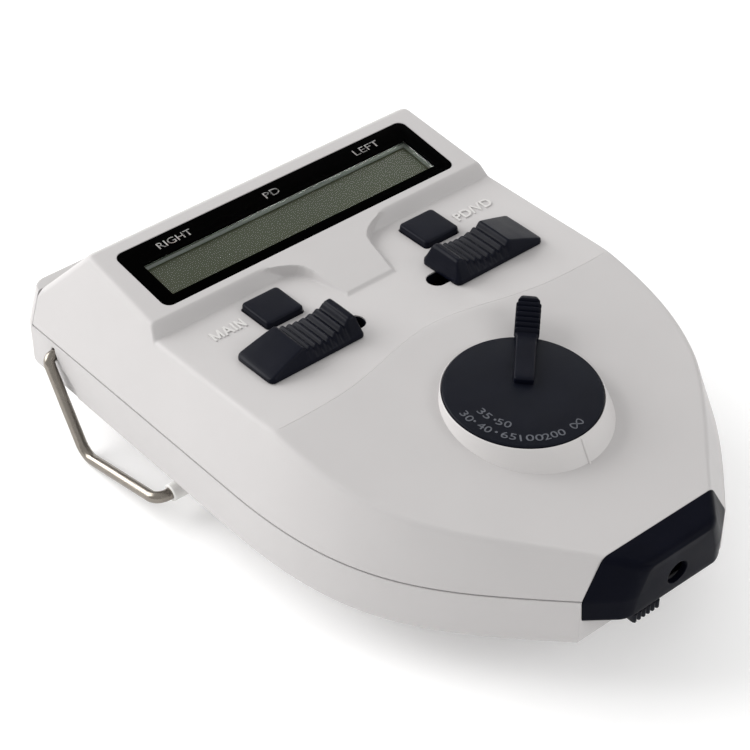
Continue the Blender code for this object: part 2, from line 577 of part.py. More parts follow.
a = math.radians(LEVER_ANGLE)
ax, ay = math.sin(a), math.cos(a)
rings = []
stations = [(2.7, 2.5, 0.06, 1.9), (3.5, 3.2, 0.06, 2.2), (22.6, 3.2, 0.06, 2.2), (23.4, 4.0, 0.06, 2.7)]
first = len(stations)
for k in range(15):
    s = 24.6 + 11.6 * k / 14
    lift = 0.2 + 3.2 * min(1.0, max(0.0, (s - 25.2)) / 9.0)
    stations.append((s, 4.05, lift, lift + 2.9 + 0.6 * min(1.0, (s - 24.6) / 5.0) + (0.55 if k % 2 else 0.0)))
stations += [(37.0, 3.9, 3.5, 7.0), (38.4, 3.4, 3.7, 6.9), (39.2, 2.4, 4.1, 6.4), (LEVER_TIP, 1.6, 4.6, 6.0)]
for s, half_w, low, high in stations:
    rings.append([(s * ax + q * ay, s * ay - q * ax, h) for q, h in arm_section(half_w, low, high, 0.7)])
lever = shape(loft("dial_lever", rings), in_dial)
shaft = shape(disc("dial_shaft", 3.0, -11.14, -0.96, segments=24), in_dial)


def cam_groove(half):
    """Slot in the cam that moves its follower evenly with the turn."""
    left, right = [], []
    for k in range(-2, 27):
        t = k / 24
        turn = math.radians(DIAL_SWEEP * t)
        y = LENS_Y + LENS_TRAVEL * t
        p = (y * math.sin(turn), y * math.cos(turn))
        t2 = t + 0.01
        turn2 = math.radians(DIAL_SWEEP * t2)
        y2 = LENS_Y + LENS_TRAVEL * t2
        q = (y2 * math.sin(turn2), y2 * math.cos(turn2))
        d = np.array(q) - np.array(p)
        d /= np.linalg.norm(d)
        left.append((p[0] - d[1] * half, p[1] + d[0] * half))
        right.append((p[0] + d[1] * half, p[1] - d[0] * half))
    return left + right[::-1]


cam = disc("focus_cam", 26.5, -12.6, -11.2, segments=48)
boolean(cam, [prism("groove", cam_groove(1.9), "z", -16, -11)])
shape(cam, in_dial)
for obj, mat in ((plate, BLACK), (lever, BLACK), (shaft, STEEL), (cam, WHITE)):
    finish(obj, mat, (0, 0, DIAL_Z), smooth=24)

carriage = box("lens_carriage", (-18, 18), (LENS_Y - 4.5, LENS_Y + 4.5), (-14.0, -9.0))
boolean(carriage, [box("upright", (-12.6, 12.6), (LENS_Y - 1.8, LENS_Y + 1.8), (-10.0, 4.0)),
                   disc("frame", 11.7, LENS_Y - 1.8, LENS_Y + 1.8, "y", (0, EYE_Z), 32),
                   disc("follower", 1.3, 9.0, 13.9, "z", (0, LENS_Y + 0.65), 16)], "UNION")
boolean(carriage, [disc("lens_hole", 10.3, LENS_Y - 5, LENS_Y + 5, "y", (0, EYE_Z), 32)]
        + [disc("rail_hole", 1.5 + GAP, LENS_Y - 9, LENS_Y + 9, "y", (s * 15.0, -11.5), 16) for s in (1, -1)])
finish(carriage, BLACK, (0, LENS_Y, EYE_Z), smooth=24)
finish(lathe("focus_lens", [(0, LENS_Y - 1.9), (5, LENS_Y - 1.5), (10.2, LENS_Y - 0.6), (10.2, LENS_Y + 0.6), (5, LENS_Y + 1.5), (0, LENS_Y + 1.9)], "y", (0, EYE_Z), 32),
       GLASS, (0, LENS_Y, EYE_Z), smooth=60)
for sx, side in ((1, "right"), (-1, "left")):
    finish(disc("%s_lens_rail" % side, 1.5, -53.9, 9.1, "y", (sx * 15.0, -11.5), 16), STEEL, smooth=50)

# ---------------------------------------------------------------- occluder
knob = []
for k in range(17):
    x = -15.5 + 10.5 * k / 16
    edge = 0.5 if k in (0, 16) else 0.0
    groove = 0.45 if k % 3 == 2 and not edge else 0.0
    knob.append([(x, y, z) for y, z in ((-62.2 - edge, -8.95), (-62.2 - edge, -12.4), (-62.8 - edge, -13.0 + edge), (-66.0 + edge + groove, -13.0 + edge + groove),
                                        (-66.8 + edge + groove, -12.2), (-66.8 + edge + groove, -8.95))])
finish(loft("occluder_knob", knob), BLACK, (-10.25, -64.5, -8.9), smooth=20)
finish(box("occluder_shutter", (-12.6, -6.0), (-65.2, -63.8), (-8.88, 5.5)), BLACK, (-10.25, -64.5, -8.9))

# ---------------------------------------------------------------- power
for name, x in (("outer_cell", CELL_X[1]), ("inner_cell", CELL_X[0])):
    flip = name == "inner_cell"
    prof = [(0, CELL_Y[0]), (6.6, CELL_Y[0]), (CELL_R, CELL_Y[0] + 0.5), (CELL_R, CELL_Y[1] - 2.4), (6.6, CELL_Y[1] - 1.9), (2.7, CELL_Y[1] - 1.5), (2.7, CELL_Y[1]), (0, CELL_Y[1])]
    if flip:
        prof = [(r, CELL_Y[1] - (h - CELL_Y[0])) for r, h in prof]
    finish(lathe(name, prof, "y", (x, -7.6), 24), CELL, smooth=40)
finish(box("front_contact", (43.0, 69.0), (-0.9, -0.4), (-13.5, -2.0)), BRASS)
finish(box("rear_contact", (43.0, 69.5), (50.5, 51.0), (-13.5, -2.0)), BRASS)
door = box("battery_door", DOOR_X, DOOR_Y, (Z_FLOOR, Z_FLOOR + 1.3), 0.25)
boolean(door, [box("finger", (52, 59), (DOOR_Y[0] + 3, DOOR_Y[0] + 6), (Z_FLOOR - 1, Z_FLOOR + 0.5))])
finish(door, BODY, (55.5, 26.5, Z_FLOOR))

# ---------------------------------------------------------------- bail
def fillet_path(points, radii, steps=7):
    pts = [np.array(p, float) for p in points]
    out = [pts[0]]
    for i in range(1, len(pts) - 1):
        a, b, c = pts[i - 1], pts[i], pts[i + 1]
        u, v = (a - b) / np.linalg.norm(a - b), (c - b) / np.linalg.norm(c - b)
        ang = math.acos(max(-1, min(1, float(u @ v))))
        t = radii[i - 1] / math.tan(ang / 2)
        centre = b + (u + v) / np.linalg.norm(u + v) * radii[i - 1] / math.sin(ang / 2)
        p, q = b + u * t, b + v * t
        e1 = (p - centre) / radii[i - 1]
        e2 = (q - centre) / radii[i - 1]
        span = math.acos(max(-1, min(1, float(e1 @ e2))))
        for k in range(steps + 1):
            w = k / steps
            d = (math.sin((1 - w) * span) * e1 + math.sin(w * span) * e2) / math.sin(span)
            out.append(centre + d * radii[i - 1])
    out.append(pts[-1])
    return out


def sweep(name, path, r, sides=12):
    rings = []
    ref = None
    for i, p in enumerate(path):
        t = path[min(i + 1, len(path) - 1)] - path[max(i - 1, 0)]
        t = t / np.linalg.norm(t)
        if ref is None:
            ref = np.array([0.0, 0.0, 1.0])
        ref = ref - (ref @ t) * t
        ref = ref / np.linalg.norm(ref)
        side = np.cross(t, ref)
        rings.append([p + r * (math.cos(2 * math.pi * k / sides) * ref + math.sin(2 * math.pi * k / sides) * side) for k in range(sides)])
    return loft(name, rings)


py, pz = BAIL_PIVOT
corners = [(74.5, py, pz), (BAIL_LEG_X, py, pz), (BAIL_LEG_X, *BAIL_ELBOW), (BAIL_LEG_X, *BAIL_BAR)]
corners = corners + [(-x, y, z) for x, y, z in corners[::-1]]
path = fillet_path(corners, [2.4, 7.0, 4.2, 4.2, 7.0, 2.4])
finish(sweep("bail_wire", path, BAIL_WIRE_R, 14), STEEL, (0, py, pz), smooth=50)
finish(ring("bail_sleeve", SLEEVE_R, BAIL_WIRE_R + SNUG, -76.5, 76.5, "x", BAIL_BAR, 24), WHITE, (0, py, pz), smooth=50)
for sx, side in ((1, "right"), (-1, "left")):
    span = (72.6, 76.9) if sx > 0 else (-76.9, -72.6)
    finish(ring("%s_bail_bushing" % side, 4.6, BAIL_WIRE_R + 0.35, span[0], span[1], "x", BAIL_PIVOT, 24), WHITE, smooth=50)

# ---------------------------------------------------------------- screws and feet
for i, (sx, (x, y)) in enumerate([(s, p) for p in SCREWS for s in (1, -1)]):
    prof = [(0, Z_FLOOR + 4.8), (1.1, Z_FLOOR + 4.8), (1.1, Z_FLOOR + 3.7), (2.6, Z_FLOOR + 3.7), (2.8, Z_FLOOR + 4.2), (2.8, Z_FLOOR + 6.9), (1.5, Z_FLOOR + 6.94), (1.5, 6.5), (0, 7.4)]
    finish(lathe("case_screw_%d" % (i + 1), prof, "z", (sx * x, y), 16), STEEL, smooth=40)
for sx, side in ((1, "right"), (-1, "left")):
    finish(disc("%s_foot" % side, 4.5, Z_FLOOR - 1.6, Z_FLOOR - SNUG, "z", (sx * 20.0, -46.0), 24, 0.4), RUBBER, smooth=40)

bpy.context.view_layer.update()
low = min((obj.matrix_world @ v.co).z for obj in bpy.data.objects for v in obj.data.vertices)
print("lowest point, mm", round(low * 1000, 4))
for obj in bpy.data.objects:
    obj.location.z -= low
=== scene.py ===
import json
import math

import bmesh
import bpy
import numpy as np
from mathutils import Matrix, Vector


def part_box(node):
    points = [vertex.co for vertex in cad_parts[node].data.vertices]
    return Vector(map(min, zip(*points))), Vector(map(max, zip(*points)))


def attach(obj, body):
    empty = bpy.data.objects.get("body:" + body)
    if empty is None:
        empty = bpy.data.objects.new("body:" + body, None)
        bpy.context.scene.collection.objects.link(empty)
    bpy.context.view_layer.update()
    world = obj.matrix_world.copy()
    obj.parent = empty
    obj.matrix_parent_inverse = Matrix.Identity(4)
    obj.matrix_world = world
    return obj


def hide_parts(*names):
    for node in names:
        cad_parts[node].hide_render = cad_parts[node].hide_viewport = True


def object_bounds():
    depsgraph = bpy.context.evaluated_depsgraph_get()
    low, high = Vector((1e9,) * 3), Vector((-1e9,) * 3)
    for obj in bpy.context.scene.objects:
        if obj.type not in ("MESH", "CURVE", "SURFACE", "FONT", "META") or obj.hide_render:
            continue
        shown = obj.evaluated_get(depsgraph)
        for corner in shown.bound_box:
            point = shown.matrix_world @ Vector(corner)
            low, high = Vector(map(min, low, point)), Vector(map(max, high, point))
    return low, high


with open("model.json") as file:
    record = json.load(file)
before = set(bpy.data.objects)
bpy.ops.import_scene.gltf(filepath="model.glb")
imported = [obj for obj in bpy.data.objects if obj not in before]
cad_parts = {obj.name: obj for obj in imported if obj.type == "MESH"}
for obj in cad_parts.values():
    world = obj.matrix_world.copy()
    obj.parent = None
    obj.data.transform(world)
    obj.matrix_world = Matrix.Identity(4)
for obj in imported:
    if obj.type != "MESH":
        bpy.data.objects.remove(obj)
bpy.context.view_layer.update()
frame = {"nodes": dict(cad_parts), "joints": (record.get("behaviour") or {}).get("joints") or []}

MM = 0.001

# Drawing millimetres: dial centre at x = y = 0, case parting plane at z = 0. The frame gives the shift.
DIAL_Z, DIAL_TILT = 26.64, 0.0543
pivot = next(j for j in frame["joints"] if j["name"] == "dial_turn")["pos_m"]
SHIFT = np.array([pivot[0] * 1000, pivot[1] * 1000, pivot[2] * 1000 - DIAL_Z])
lo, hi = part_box("bail_wire")
BAIL_LEG_X = hi[0] * 1000 - 2.0


def place(p):
    return Vector(tuple((np.array(p, float) + SHIFT) * MM))


# ------------------------------------------------------------------ camera
AZ, EL, ROLL = math.radians(40.2166), math.radians(39.5160), math.radians(-0.1844)
fwd = Vector((math.sin(AZ) * math.cos(EL), math.cos(AZ) * math.cos(EL), -math.sin(EL)))
right = fwd.cross(Vector((0, 0, 1))).normalized()
up = right.cross(fwd)
right, up = right * math.cos(ROLL) + up * math.sin(ROLL), up * math.cos(ROLL) - right * math.sin(ROLL)
cam_data = bpy.data.cameras.new("camera")
cam_data.sensor_width = 36.0
cam_data.lens = 108.4999
cam_data.clip_start, cam_data.clip_end = 0.05, 20.0
camera = bpy.data.objects.new("camera", cam_data)
bpy.context.scene.collection.objects.link(camera)
camera.matrix_world = Matrix.Translation(place((-376.068, -374.809, 469.138))) @ Matrix((right, up, -fwd)).transposed().to_4x4()
bpy.context.scene.camera = camera


# ------------------------------------------------------------------ materials
def material(name, rgb, rough, metal=0.0, grain=None, mottle=None, smudge=None, round_mm=0.0, coat=0.0, ior=1.46, brushed=None, spec=0.5):
    """Principled plastic or metal with grain in its bump, a faint colour drift and worn gloss."""
    mat = bpy.data.materials.new(name)
    mat.use_nodes = True
    nt = mat.node_tree
    bsdf = nt.nodes["Principled BSDF"]
    bsdf.inputs["Base Color"].default_value = (*rgb, 1)
    bsdf.inputs["Roughness"].default_value = rough
    bsdf.inputs["Metallic"].default_value = metal
    bsdf.inputs["IOR"].default_value = ior
    bsdf.inputs["Specular IOR Level"].default_value = spec
    if coat:
        bsdf.inputs["Coat Weight"].default_value = coat
        bsdf.inputs["Coat Roughness"].default_value = 0.12
    tex = nt.nodes.new("ShaderNodeTexCoord")
    if mottle:
        noise = nt.nodes.new("ShaderNodeTexNoise")
        noise.inputs["Scale"].default_value = mottle[0]
        noise.inputs["Detail"].default_value = 4.0
        ramp = nt.nodes.new("ShaderNodeValToRGB")
        ramp.color_ramp.elements[0].position, ramp.color_ramp.elements[1].position = 0.3, 0.7
        ramp.color_ramp.elements[0].color = (*[c * (1 - mottle[1]) for c in rgb], 1)
        ramp.color_ramp.elements[1].color = (*[min(1, c * (1 + mottle[1])) for c in rgb], 1)
        nt.links.new(tex.outputs["Object"], noise.inputs["Vector"])
        nt.links.new(noise.outputs["Fac"], ramp.inputs["Fac"])
        nt.links.new(ramp.outputs["Color"], bsdf.inputs["Base Color"])
    if smudge:
        noise = nt.nodes.new("ShaderNodeTexNoise")
        noise.inputs["Scale"].default_value = smudge[0]
        noise.inputs["Detail"].default_value = 6.0
        rng = nt.nodes.new("ShaderNodeMapRange")
        rng.inputs["From Min"].default_value, rng.inputs["From Max"].default_value = 0.3, 0.7
        rng.inputs["To Min"].default_value, rng.inputs["To Max"].default_value = rough - smudge[1], rough + smudge[1]
        nt.links.new(tex.outputs["Object"], noise.inputs["Vector"])
        nt.links.new(noise.outputs["Fac"], rng.inputs["Value"])
        nt.links.new(rng.outputs["Result"], bsdf.inputs["Roughness"])
    last = None
    if round_mm:
        last = nt.nodes.new("ShaderNodeBevel")
        last.inputs["Radius"].default_value = round_mm * MM
        last.samples = 4
    if grain:
        noise = nt.nodes.new("ShaderNodeTexNoise")
        noise.inputs["Scale"].default_value = grain[0]
        noise.inputs["Detail"].default_value = 2.0
        source = tex.outputs["Object"]
        if brushed:
            mapping = nt.nodes.new("ShaderNodeMapping")
            mapping.inputs["Scale"].default_value = brushed
            nt.links.new(source, mapping.inputs["Vector"])
            source = mapping.outputs["Vector"]
        bump = nt.nodes.new("ShaderNodeBump")
        bump.inputs["Strength"].default_value = grain[1]
        bump.inputs["Distance"].default_value = grain[2] * MM
        nt.links.new(source, noise.inputs["Vector"])
        nt.links.new(noise.outputs["Fac"], bump.inputs["Height"])
        if last:
            nt.links.new(last.outputs["Normal"], bump.inputs["Normal"])
        last = bump
    if last:
        nt.links.new(last.outputs["Normal"], bsdf.inputs["Normal"])
    return mat


BODY = material("shell_plastic", (0.472, 0.459, 0.457), 0.45, spec=0.35, grain=(1700, 0.22, 0.05), mottle=(28, 0.018), smudge=(60, 0.05), round_mm=0.35)
BLACK = material("black_plastic", (0.0027, 0.0034, 0.0078), 0.36, spec=0.10, grain=(2100, 0.3, 0.05), mottle=(70, 0.12), smudge=(90, 0.06), round_mm=0.3)
NOSE = material("nose_plastic", (0.0030, 0.0035, 0.0072), 0.34, spec=0.035, grain=(2100, 0.3, 0.05), mottle=(70, 0.12), smudge=(90, 0.06), round_mm=0.5)
# Lighter copy of the shell plastic for the dial seat and its index tick: painted light, the same plastic given a
# brighter base colour than the shell
SEAT_PAINTED_LIGHT = material("seat_plastic_painted_lighter", (0.57, 0.555, 0.55), 0.45, spec=0.35, grain=(1700, 0.22, 0.05), mottle=(28, 0.018), smudge=(60, 0.05))
DISC = material("dial_plastic", (0.0034, 0.0043, 0.0085), 0.45, spec=0.115, grain=(2600, 0.4, 0.05), mottle=(90, 0.1), smudge=(80, 0.05), round_mm=0.2)
GLOSS = material("bezel_gloss", (0.0003, 0.0003, 0.0003), 0.22, spec=0.004, grain=(120, 0.03, 0.04), mottle=(60, 0.15), smudge=(45, 0.04))
INK = material("legend_ink", (0.50, 0.50, 0.49), 0.5, grain=(3000, 0.2, 0.02), mottle=(400, 0.05))
# Lighter copy of the shell plastic for the raised letters: painted highlight where the embossed strokes catch the light
LABEL_PAINTED_HIGHLIGHT = material("label_plastic_painted_highlight", (0.56, 0.55, 0.54), 0.5, spec=0.3, grain=(1700, 0.1, 0.02), mottle=(300, 0.02))
MARK = material("dial_mark", (0.075, 0.08, 0.095), 0.55, grain=(3000, 0.2, 0.02), mottle=(500, 0.1))
WHITE = material("sleeve_plastic", (0.74, 0.73, 0.71), 0.35, grain=(900, 0.15, 0.04), mottle=(60, 0.02), smudge=(80, 0.05), round_mm=0.2)
STEEL = material("satin_steel", (0.25, 0.228, 0.20), 0.26, 1.0, grain=(900, 0.25, 0.03), mottle=(120, 0.05), smudge=(150, 0.06), brushed=(0.15, 1, 1))
PCB = material("solder_mask", (0.015, 0.10, 0.045), 0.35, grain=(700, 0.3, 0.05), mottle=(200, 0.2))
RUBBER = material("soft_rubber", (0.018, 0.018, 0.019), 0.8, grain=(1500, 0.5, 0.08), mottle=(80, 0.15), smudge=(70, 0.08), round_mm=0.4)
BRASS = material("contact_brass", (0.62, 0.44, 0.16), 0.3, 1.0, grain=(900, 0.3, 0.03), mottle=(150, 0.08), smudge=(150, 0.06))
JACKET = material("cell_film", (0.05, 0.09, 0.15), 0.3, grain=(400, 0.1, 0.04), mottle=(60, 0.1), smudge=(80, 0.05), coat=0.3)
AMBER = material("lamp_epoxy", (0.85, 0.3, 0.04), 0.15, grain=(500, 0.1, 0.03), mottle=(200, 0.05))
CELLGLASS = material("crystal_cell", (0.066, 0.071, 0.045), 0.3, spec=0.2, grain=(2600, 0.06, 0.02), mottle=(22, 0.05), smudge=(50, 0.03))
FRAME = material("cell_frame", (0.36, 0.37, 0.35), 0.45, grain=(1500, 0.2, 0.03), mottle=(100, 0.04))


def clear(name, tint, gloss):
    """Clear sheet that passes light straight through and keeps a surface reflection."""
    mat = bpy.data.materials.new(name)
    mat.use_nodes = True
    nt = mat.node_tree
    nt.nodes.clear()
    out = nt.nodes.new("ShaderNodeOutputMaterial")
    bsdf = nt.nodes.new("ShaderNodeBsdfPrincipled")
    bsdf.inputs["Base Color"].default_value = (*tint, 1)
    bsdf.inputs["Roughness"].default_value = gloss
    bsdf.inputs["Transmission Weight"].default_value = 1.0
    bsdf.inputs["IOR"].default_value = 1.49
    tr = nt.nodes.new("ShaderNodeBsdfTransparent")
    tr.inputs["Color"].default_value = (*tint, 1)
    mix = nt.nodes.new("ShaderNodeMixShader")
    fres = nt.nodes.new("ShaderNodeFresnel")
    fres.inputs["IOR"].default_value = 1.22
    noise = nt.nodes.new("ShaderNodeTexNoise")
    noise.inputs["Scale"].default_value = 90.0
    bump = nt.nodes.new("ShaderNodeBump")
    bump.inputs["Strength"].default_value = 0.02
    bump.inputs["Distance"].default_value = 0.00005
    tex = nt.nodes.new("ShaderNodeTexCoord")
    nt.links.new(tex.outputs["Object"], noise.inputs["Vector"])
    nt.links.new(noise.outputs["Fac"], bump.inputs["Height"])
    nt.links.new(bump.outputs["Normal"], bsdf.inputs["Normal"])
    nt.links.new(fres.outputs["Fac"], mix.inputs["Fac"])
    nt.links.new(tr.outputs["BSDF"], mix.inputs[1])
    nt.links.new(bsdf.outputs["BSDF"], mix.inputs[2])
    nt.links.new(mix.outputs["Shader"], out.inputs["Surface"])
    return mat


WINDOW = clear("window_sheet", (0.93, 0.95, 0.93), 0.08)
LENS = clear("lens_glass", (0.90, 0.95, 0.97), 0.03)


# ------------------------------------------------------------------ mesh helpers (drawing millimetres)
def raw(name, points, faces):
    mesh = bpy.data.meshes.new(name)
    mesh.from_pydata([tuple(map(float, p)) for p in points], [], [tuple(f) for f in faces])
    obj = bpy.data.objects.new(name, mesh)
    bpy.context.scene.collection.objects.link(obj)
    bm = bmesh.new()
    bm.from_mesh(mesh)
    bmesh.ops.recalc_face_normals(bm, faces=bm.faces)
    bm.to_mesh(mesh)
    bm.free()
    return obj


def loft(name, rings, caps=True):
    n = len(rings[0])
    points = [p for ring in rings for p in ring]
    faces = [tuple(range(n)), tuple((len(rings) - 1) * n + i for i in range(n))] if caps else []
    for r in range(len(rings) - 1):
        for i in range(n):
            a, b = r * n + i, r * n + (i + 1) % n
            faces.append((a, b, b + n, a + n))
    return raw(name, points, faces)


def axis_point(axis, u, v, w):
    return {"x": (w, u, v), "y": (u, w, v), "z": (u, v, w)}[axis]


def prism(name, poly, axis, a, b):
    return loft(name, [[axis_point(axis, u, v, w) for u, v in poly] for w in (a, b)])


def lathe(name, profile, axis="z", centre=(0, 0), segments=96):
    points, faces, index = [], [], []
    for r, h in profile:
        if r < 1e-6:
            index.append([len(points)] * segments)
            points.append(axis_point(axis, centre[0], centre[1], h))
        else:
            start = len(points)
            index.append([start + k for k in range(segments)])
            for k in range(segments):
                a = 2 * math.pi * k / segments
                points.append(axis_point(axis, centre[0] + r * math.cos(a), centre[1] + r * math.sin(a), h))
    m = len(profile)
    for i in range(m):
        j = (i + 1) % m
        if profile[i][0] < 1e-6 and profile[j][0] < 1e-6:
            continue
        for k in range(segments):
            face = []
            for v in (index[i][k], index[i][(k + 1) % segments], index[j][(k + 1) % segments], index[j][k]):
                if v not in face:
                    face.append(v)
            faces.append(face)
    return raw(name, points, faces)


def rounded(x, y, r, steps=8):
    out = []
    for cx, cy, a0 in ((x[1] - r, y[1] - r, 0), (x[0] + r, y[1] - r, 90), (x[0] + r, y[0] + r, 180), (x[1] - r, y[0] + r, 270)):
        for k in range(steps + 1):
            a = math.radians(a0 + 90 * k / steps)
            out.append((cx + r * math.cos(a), cy + r * math.sin(a)))
    return out


def join(name, objs):
    bm = bmesh.new()
    for o in objs:
        bm.from_mesh(o.data)
        bpy.data.objects.remove(o)
    mesh = bpy.data.meshes.new(name)
    bm.to_mesh(mesh)
    bm.free()
    obj = bpy.data.objects.new(name, mesh)
    bpy.context.scene.collection.objects.link(obj)
    return obj


def boolean(obj, other, kind="DIFFERENCE"):
    mod = obj.modifiers.new("cut", "BOOLEAN")
    mod.object, mod.operation, mod.solver = other, kind, "EXACT"
    graph = bpy.context.evaluated_depsgraph_get()
    mesh = bpy.data.meshes.new_from_object(obj.evaluated_get(graph))
    obj.modifiers.clear()
    obj.data = mesh
    bpy.data.objects.remove(other)
    return obj


def shape(obj, fn):
    for v in obj.data.vertices:
        v.co = Vector(tuple(map(float, fn(np.array(v.co)))))
    return obj


def in_plateau(p):
    a = math.atan(0.138)
    c, s = math.cos(a), math.sin(a)
    v = (p[1] - 97.0) / c
    return (p[0], 97.0 + v * c - p[2] * s, 30.35 + v * s + p[2] * c)


def in_dial(p):
    a = math.atan(DIAL_TILT)
    c, s = math.cos(a), math.sin(a)
    return (p[0], p[1] * c - p[2] * s, DIAL_Z + p[1] * s + p[2] * c)


def mirror(obj, name):
    other = obj.copy()
    other.data = obj.data.copy()
    other.name = name
    bpy.context.scene.collection.objects.link(other)
    shape(other, lambda p: (-p[0], p[1], p[2]))
    bm = bmesh.new()
    bm.from_mesh(other.data)
    bmesh.ops.reverse_faces(bm, faces=bm.faces)
    bm.to_mesh(other.data)
    bm.free()
    return other


def piece(obj, body, mat, replaces=None, sharp=30.0, weighted=False):
    """Moves a piece from drawing millimetres into the frame and ties it to its body."""
    shape(obj, place)
    obj.data.materials.clear()
    obj.data.materials.append(mat)
    bm = bmesh.new()
    bm.from_mesh(obj.data)
    bmesh.ops.remove_doubles(bm, verts=bm.verts, dist=1e-7)
    for f in bm.faces:
        f.smooth = True
        f.material_index = 0
    for e in bm.edges:
        e.smooth = len(e.link_faces) == 2 and e.calc_face_angle(0) < math.radians(sharp)
    bm.to_mesh(obj.data)
    bm.free()
    if weighted:
        mod = obj.modifiers.new("weighted", "WEIGHTED_NORMAL")
        mod.keep_sharp = True
        mod.weight = 60
    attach(obj, body)
    if replaces:
        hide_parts(*([replaces] if isinstance(replaces, str) else replaces))
    return obj


# ------------------------------------------------------------------ case surfaces
HALF_W, Y_NOSE, Y_SEAM, Y_REAR, Z_FLOOR, Z_REAR_TOP = 79.24, -58.7, 154.1, 159.5, -17.3, 12.7
DRAFT_SIDE, DRAFT_NOSE = 0.317, 0.44
WALL = 2.2
BEZ = np.array([(HALF_W, 44.1), (HALF_W, -10.6), (61.9, -27.5), (30.7, Y_NOSE)], float)[::-1]


def outline(n=90):
    """Fine half outline from the nose corner: points, outward normals and draft."""
    t = np.linspace(0, 1, n)[:, None]
    p = (1 - t) ** 3 * BEZ[0] + 3 * (1 - t) ** 2 * t * BEZ[1] + 3 * (1 - t) * t * t * BEZ[2] + t ** 3 * BEZ[3]
    d = 3 * (1 - t) ** 2 * (BEZ[1] - BEZ[0]) + 6 * (1 - t) * t * (BEZ[2] - BEZ[1]) + 3 * t * t * (BEZ[3] - BEZ[2])
    d /= np.linalg.norm(d, axis=1)[:, None]
    draft = DRAFT_NOSE + (DRAFT_SIDE - DRAFT_NOSE) * np.minimum(1, t[:, 0] * 2.2)
    return p, np.stack([d[:, 1], -d[:, 0]], 1), draft


OP, ON, OD = outline()
tan0 = np.array([-ON[0][1], ON[0][0]])
ext = np.array([OP[0] - tan0 * s for s in (30, 20, 10, 5)])
XP = np.vstack([ext, OP, [(HALF_W, 80.0), (HALF_W, 200.0)]])
XN = np.vstack([np.repeat(ON[:1], 4, 0), ON, [(1, 0), (1, 0)]])
XD = np.concatenate([np.repeat(OD[:1], 4), OD, [DRAFT_SIDE] * 2])
LEVELS = np.arange(0, 41.0, 0.5)


def half_width(y, z, inset=0.0):
    """Half width of the case at (y, z), drafted above the parting plane."""
    z = np.maximum(np.asarray(z, float), 0.0)
    out = np.empty(np.broadcast(np.asarray(y, float), z).shape)
    y = np.broadcast_to(np.asarray(y, float), out.shape)
    z = np.broadcast_to(z, out.shape)
    flat_y, flat_z, res = y.ravel(), z.ravel(), out.ravel()
    for i in range(flat_z.size):
        s = XP - XN * (XD * flat_z[i] + inset)[:, None]
        res[i] = np.interp(flat_y[i], s[:, 1], s[:, 0])
    return res.reshape(out.shape)


def smin(a, b, k):
    h = np.clip(0.5 + 0.5 * (b - a) / k, 0, 1)
    return b * (1 - h) + a * h - k * h * (1 - h)


def smax(a, b, k):
    return -smin(-a, -b, k)


CX = np.array([0, 14.5, 30, 42.2, 60, 70.6, 95])
CY = np.array([43.3, 40.9, 36.6, 34.3, 33.7, 34.1, 34.1])


FX = np.linspace(-95, 95, 761)
KER = np.exp(-0.5 * (np.arange(-60, 61) * 0.25 / 4.5) ** 2)
FY = np.convolve(np.pad(np.interp(np.abs(FX), CX, CY), 60, mode="edge"), KER / KER.sum(), mode="valid")


def step(a, b, v):
    t = np.clip((v - a) / (b - a), 0, 1)
    return t * t * (3 - 2 * t)


def top_z(x, y):
    """Height of the upper case's top surface."""
    x, y = np.broadcast_arrays(np.abs(np.asarray(x, float)), np.asarray(y, float))
    yc = np.interp(x, FX, FY)
    panel = np.interp(y, [-100, 34, 69.5, 93.2, 200], [27.9, 27.0, 26.2, 25.9, 24.7])
    front = 27.0 - 13.62 * (yc - y) / (yc + 58.0)
    base = smin(panel, front, 0.22)
    plateau = 30.35 + 0.138 * (y - 97.0)
    ramp = 25.9 + 1.447 * (y - 93.2)
    raised = smin(ramp, plateau, 1.0)
    z = smax(base, raised, 0.9)
    w = np.interp(y, [60, 72, 76, 80, 86, 89, 91, 92.5, 94, 96], [10.0, 10.0, 10.9, 11.8, 12.8, 13.9, 15.4, 17.4, 20.4, 26.0])
    d = np.minimum(w - x, (y - 71.6) * 0.9)
    tab = base + np.maximum(plateau - base, 0) * step(-0.8, 1.0, d)
    z = smax(z, tab, 0.12)
    rear = 35.39 - 1.0805 * (y - 133.5)
    return smin(z, rear, 1.8)


# ------------------------------------------------------------------ upper case
rows = np.unique(np.round(np.concatenate([
    np.linspace(Y_NOSE, 30, 64), np.linspace(30, 46, 22), np.linspace(46, 70.4, 14), np.linspace(70.4, 73.4, 13), np.linspace(73.4, 90, 30),
    np.linspace(90, 99, 46), np.linspace(99, 130, 20), np.linspace(130, 137, 26), np.linspace(137, Y_SEAM, 16)]), 4))
us = np.concatenate([np.linspace(1, 0.93, 8), np.linspace(0.915, 0.36, 30), np.linspace(0.34, 0.12, 56), np.linspace(0.10, 0.0, 5)])


